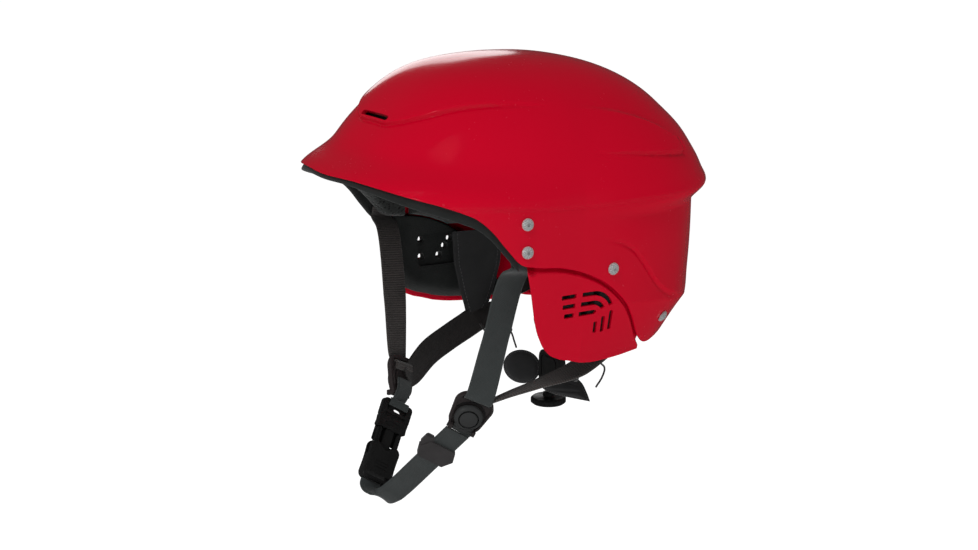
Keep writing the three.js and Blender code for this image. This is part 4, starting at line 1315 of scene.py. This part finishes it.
def make_buckle():
    ladder = prism(buckle_outline(25, 0, -15, 3), -2, 2)
    base = prism(buckle_outline(25, -13, -22, 2, 0.8), -2.7, 2.7)
    plug = form("buckle_plug_body", BUCKLE_FRAME, ladder, GLOSS)
    combine(plug, [form("base", BUCKLE_FRAME, base)], "UNION")
    hole = [(1.5 + 3.2 * math.cos(a), -6.4 + 1.25 * math.sin(a)) for a in np.arange(28) * math.pi / 14]
    windows = [prism(rounded_box(17, 5, 1.8, (0, -5.5)), 0.2, 6), prism(hole, -6, 6),
               prism(rounded_box(17, 2.2, 1, (0, -11.2)), 0.8, 6),
               prism(rounded_box(12, 3.4, 1.6, (0, -17.6)), 2.1, 4)]
    combine(plug, [form("window", BUCKLE_FRAME, w) for w in windows])
    guide = [prism(rounded_box(7, 30, 1, (0, -35)), -1.7, 1.7),
             prism(rounded_box(22, 13, 1, (0, -26)), -2.65, -1.9)]
    combine(plug, [form("guide", BUCKLE_FRAME, g) for g in guide], "UNION")
    soften(plug, 0.6, 4)
    finished(plug, "chin_loop", "plastic", "buckle_plug")

    for name, sign in (("rear", 1), ("front", -1)):
        arm = prism(rounded_box(3.2, 19.6, 0.9, (sign * 8.4, -32.2)), -1.6, 1.6)
        barb = prism([(sign * x, y) for x, y in BARB], -1.6, 1.6)
        prong = moulded(f"buckle_prong_{name}_arm", BUCKLE_FRAME, [arm, barb], [], GLOSS, bevel=0.45)
        finished(prong, f"prong_{name}", "plastic", f"buckle_prong_{name}")

    outer = prism(buckle_outline(26, -33, -62, 5.5, 0.9), -4.2, 4.2)
    socket = form("buckle_socket_body", BUCKLE_FRAME, outer, GLOSS)
    soften(socket, 1.5, 5)
    cuts = [prism(rounded_box(21.6, 24, 0.6, (0, -41)), -2.5, 2.5),
            prism(rounded_box(34, 15, 0.6, (0, -36.5)), -2, 2),
            prism(rounded_box(20.8, 2.6, 0.8, (0, -57.9)), -6, 6)]
    cuts += [prism(rounded_box(11, 0.9, 0.4, (0, y)), 3.75, 6) for y in (-47.5, -49.7, -51.9)]
    cuts += [prism(hull_of_circles([(-5, -33, 2), (5, -33, 2), (0, -36, 2)]), 2, 6)]
    combine(socket, [form("cut", BUCKLE_FRAME, c) for c in cuts])
    soften(socket, 0.3, 2)
    finished(socket, "socket", "plastic", "buckle_socket")


def make_keeper():
    hexagon = [(-14.5, 0), (-10.5, -8), (10.5, -8), (14.5, 0), (10.5, 8), (-10.5, 8)]
    raised = [(-4.6, -7.6), (-3.4, -7.6), (-3.4, 7.6), (-4.6, 7.6)]
    bodies = [prism(hexagon, -2.6, 2.35), prism(raised, 2.0, 2.6),
              prism(rounded_box(6.5, 9, 1.5, (12.4, 6.5)), -2.0, 1.7)]
    keeper = moulded("strap_keeper_sleeve", KEEPER_FRAME, bodies, [], RUBBER, bevel=0.7, segments=4)
    combine(keeper, [form("channel", KEEPER_FRAME, box_shape((-10.5, 10.5), (-20, 20), (-1.25, 1.25)))])
    shade(keeper, 40)
    finished(keeper, "keeper", "rubber", "strap_keeper")


make_chin_webbing()
make_buckle()
make_keeper()


# ---------- rear cradle ----------
def make_yoke():
    yoke, line, face, wide, full = ribbon("cradle_yoke_cloth", [
        (tuple(surface_point(90, -30, -12)), (1, 0, 0), 22), ((0, 88, -98), (1, 0, 0), 22),
        ((0, 62, -110), (1, 0, 0), 22), ((0, 47.5, -117), (1, 0, 0), 16)], FABRIC, thick=1.8, count=60, hem=0.1)
    finished(yoke, "root", "fabric", "cradle_yoke")
    for edge in (-1, 1):
        path = line + wide * (edge * (full - 2.6))[:, None] + face * 0.9
        stitches(f"cradle_yoke_stitch_{'left' if edge > 0 else 'right'}", path, face, "root", "fabric")


def make_core():
    frame = frame_at((0, 44, -133.5), (0, -1, 0))
    outline = rounded_box(27, 29, 7, steps=8)
    core = form("cradle_core_body", frame, prism(outline, -3, 3), PLASTIC)
    ring = prism(rounded_box(21, 23, 5.5, steps=8), 2.3, 4)
    inner = prism(rounded_box(18.4, 20.4, 4.6, steps=8), 1, 6)
    groove = combine(form("groove", frame, ring), [form("inner", frame, inner)])
    combine(core, [groove])
    soften(core, 0.7, 4)
    finished(core, "cradle", "plastic", "cradle_core")


def lobe(name, node, at, out, up, outline, thick, creases=()):
    """A padded lobe: a crowned pillow with a flat sewn rim. Each crease is (height at x = 0, slope, depth)."""
    frame = frame_at(at, out, up)
    rings, sides = 18, 96
    closed = line_through(np.column_stack([outline + outline[:1], np.zeros(len(outline) + 1)]), sides)[:-1, :2]
    middle = closed.mean(axis=0)
    points = []
    for sign in (1, -1):
        points.append((*middle, sign * thick / 2))
        for q in np.arange(1, rings + 1) / rings:
            plump = math.sqrt(max(0.0, 1 - (q / 0.86) ** 2.6)) if q < 0.86 else 0.0
            for x, y in middle + (closed - middle) * q:
                dent = sum(depth * hump(y, at_zero + slope * x, 0.9) for at_zero, slope, depth in creases)
                high = thick * (0.05 if q > 0.97 else 0.12 + 0.38 * plump * (1 - dent))
                points.append((x, y, sign * high))
    half = 1 + rings * sides
    faces = []
    for base in (0, half):
        for k in range(sides):
            n = (k + 1) % sides
            faces.append((base, base + 1 + k, base + 1 + n))
            for j in range(rings - 1):
                a, b = base + 1 + j * sides, base + 1 + (j + 1) * sides
                faces.append((a + k, b + k, b + n, a + n))
    edge, other = 1 + (rings - 1) * sides, half + 1 + (rings - 1) * sides
    faces += [(edge + k, other + k, other + (k + 1) % sides, edge + (k + 1) % sides) for k in range(sides)]
    pad = make_mesh(name, into(frame, points), faces, FABRIC)
    finished(pad, "cradle", "fabric", node, fill=0.8)
    rim = middle + (np.vstack([closed, closed[:1]]) - middle) * 0.91
    for face, sign in (("head", 1), ("back", -1)):
        path = np.column_stack([rim, np.full(len(rim), sign * 0.12 * thick)])
        out = np.tile(frame[:3, 2] * sign, (len(path), 1))
        stitches(f"{name}_stitch_{face}", into(frame, path), out, "cradle", "fabric",
                 pitch=1.9, length=1.3, radius=0.2)


DISC = [(15 * math.cos(a), 12.5 * math.sin(a)) for a in np.arange(16) * math.pi / 8]
LEAF = [(13.5, -7.5), (9, -1), (3, 5.5), (-7, 9.5), (-18, 7.5), (-26, 3), (-28, -1), (-23, -5), (-10, -7),
        (2, -7.4)]


def make_dial():
    low, high = -158.5, -149.6
    profile = [(0, low), (9.6, low), (10.4, low + 0.5), (11.4, low + 0.5), (13, low + 1.8), (13, low + 4.4),
               (11.6, low + 5.6), (4, low + 6), (4, high), (0, high)]
    frame = np.eye(4)
    frame[:3, 3] = (0, 41, 0)
    dial = form("cradle_dial_knob", frame, turned(profile, 96), PLASTIC)
    grips = [prism(circle(0.75, 10, (13.2 * math.cos(a), 13.2 * math.sin(a))), low + 1, low + 5)
             for a in np.arange(24) * math.pi / 12]
    tool = form("grips", frame, joined(grips))
    combine(dial, [tool])
    soften(dial, 0.25, 2)
    finished(dial, "dial", "plastic", "cradle_dial")


make_yoke()
make_core()
lobe("cradle_right_lobe_pad", "cradle_right_lobe", (-29.5, 36.5, -137), (0.56, -0.81, 0.19), (0, 0, 1),
     DISC, 5)
lobe("cradle_left_lobe_pad", "cradle_left_lobe", (29.5, 45, -140), (0.486, -0.7, 0.52), (-0.22, 0.4, 0.89),
     LEAF, 6, creases=((1.5, -0.12, 0.55), (-3.2, 0.1, 0.45)))
make_dial()


# ---------- the two boxes ----------
def plain(corners):
    return [[float(c) for c in corner] for corner in corners]


{"cad": plain(CAD_BOX), "visual": plain(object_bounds())}
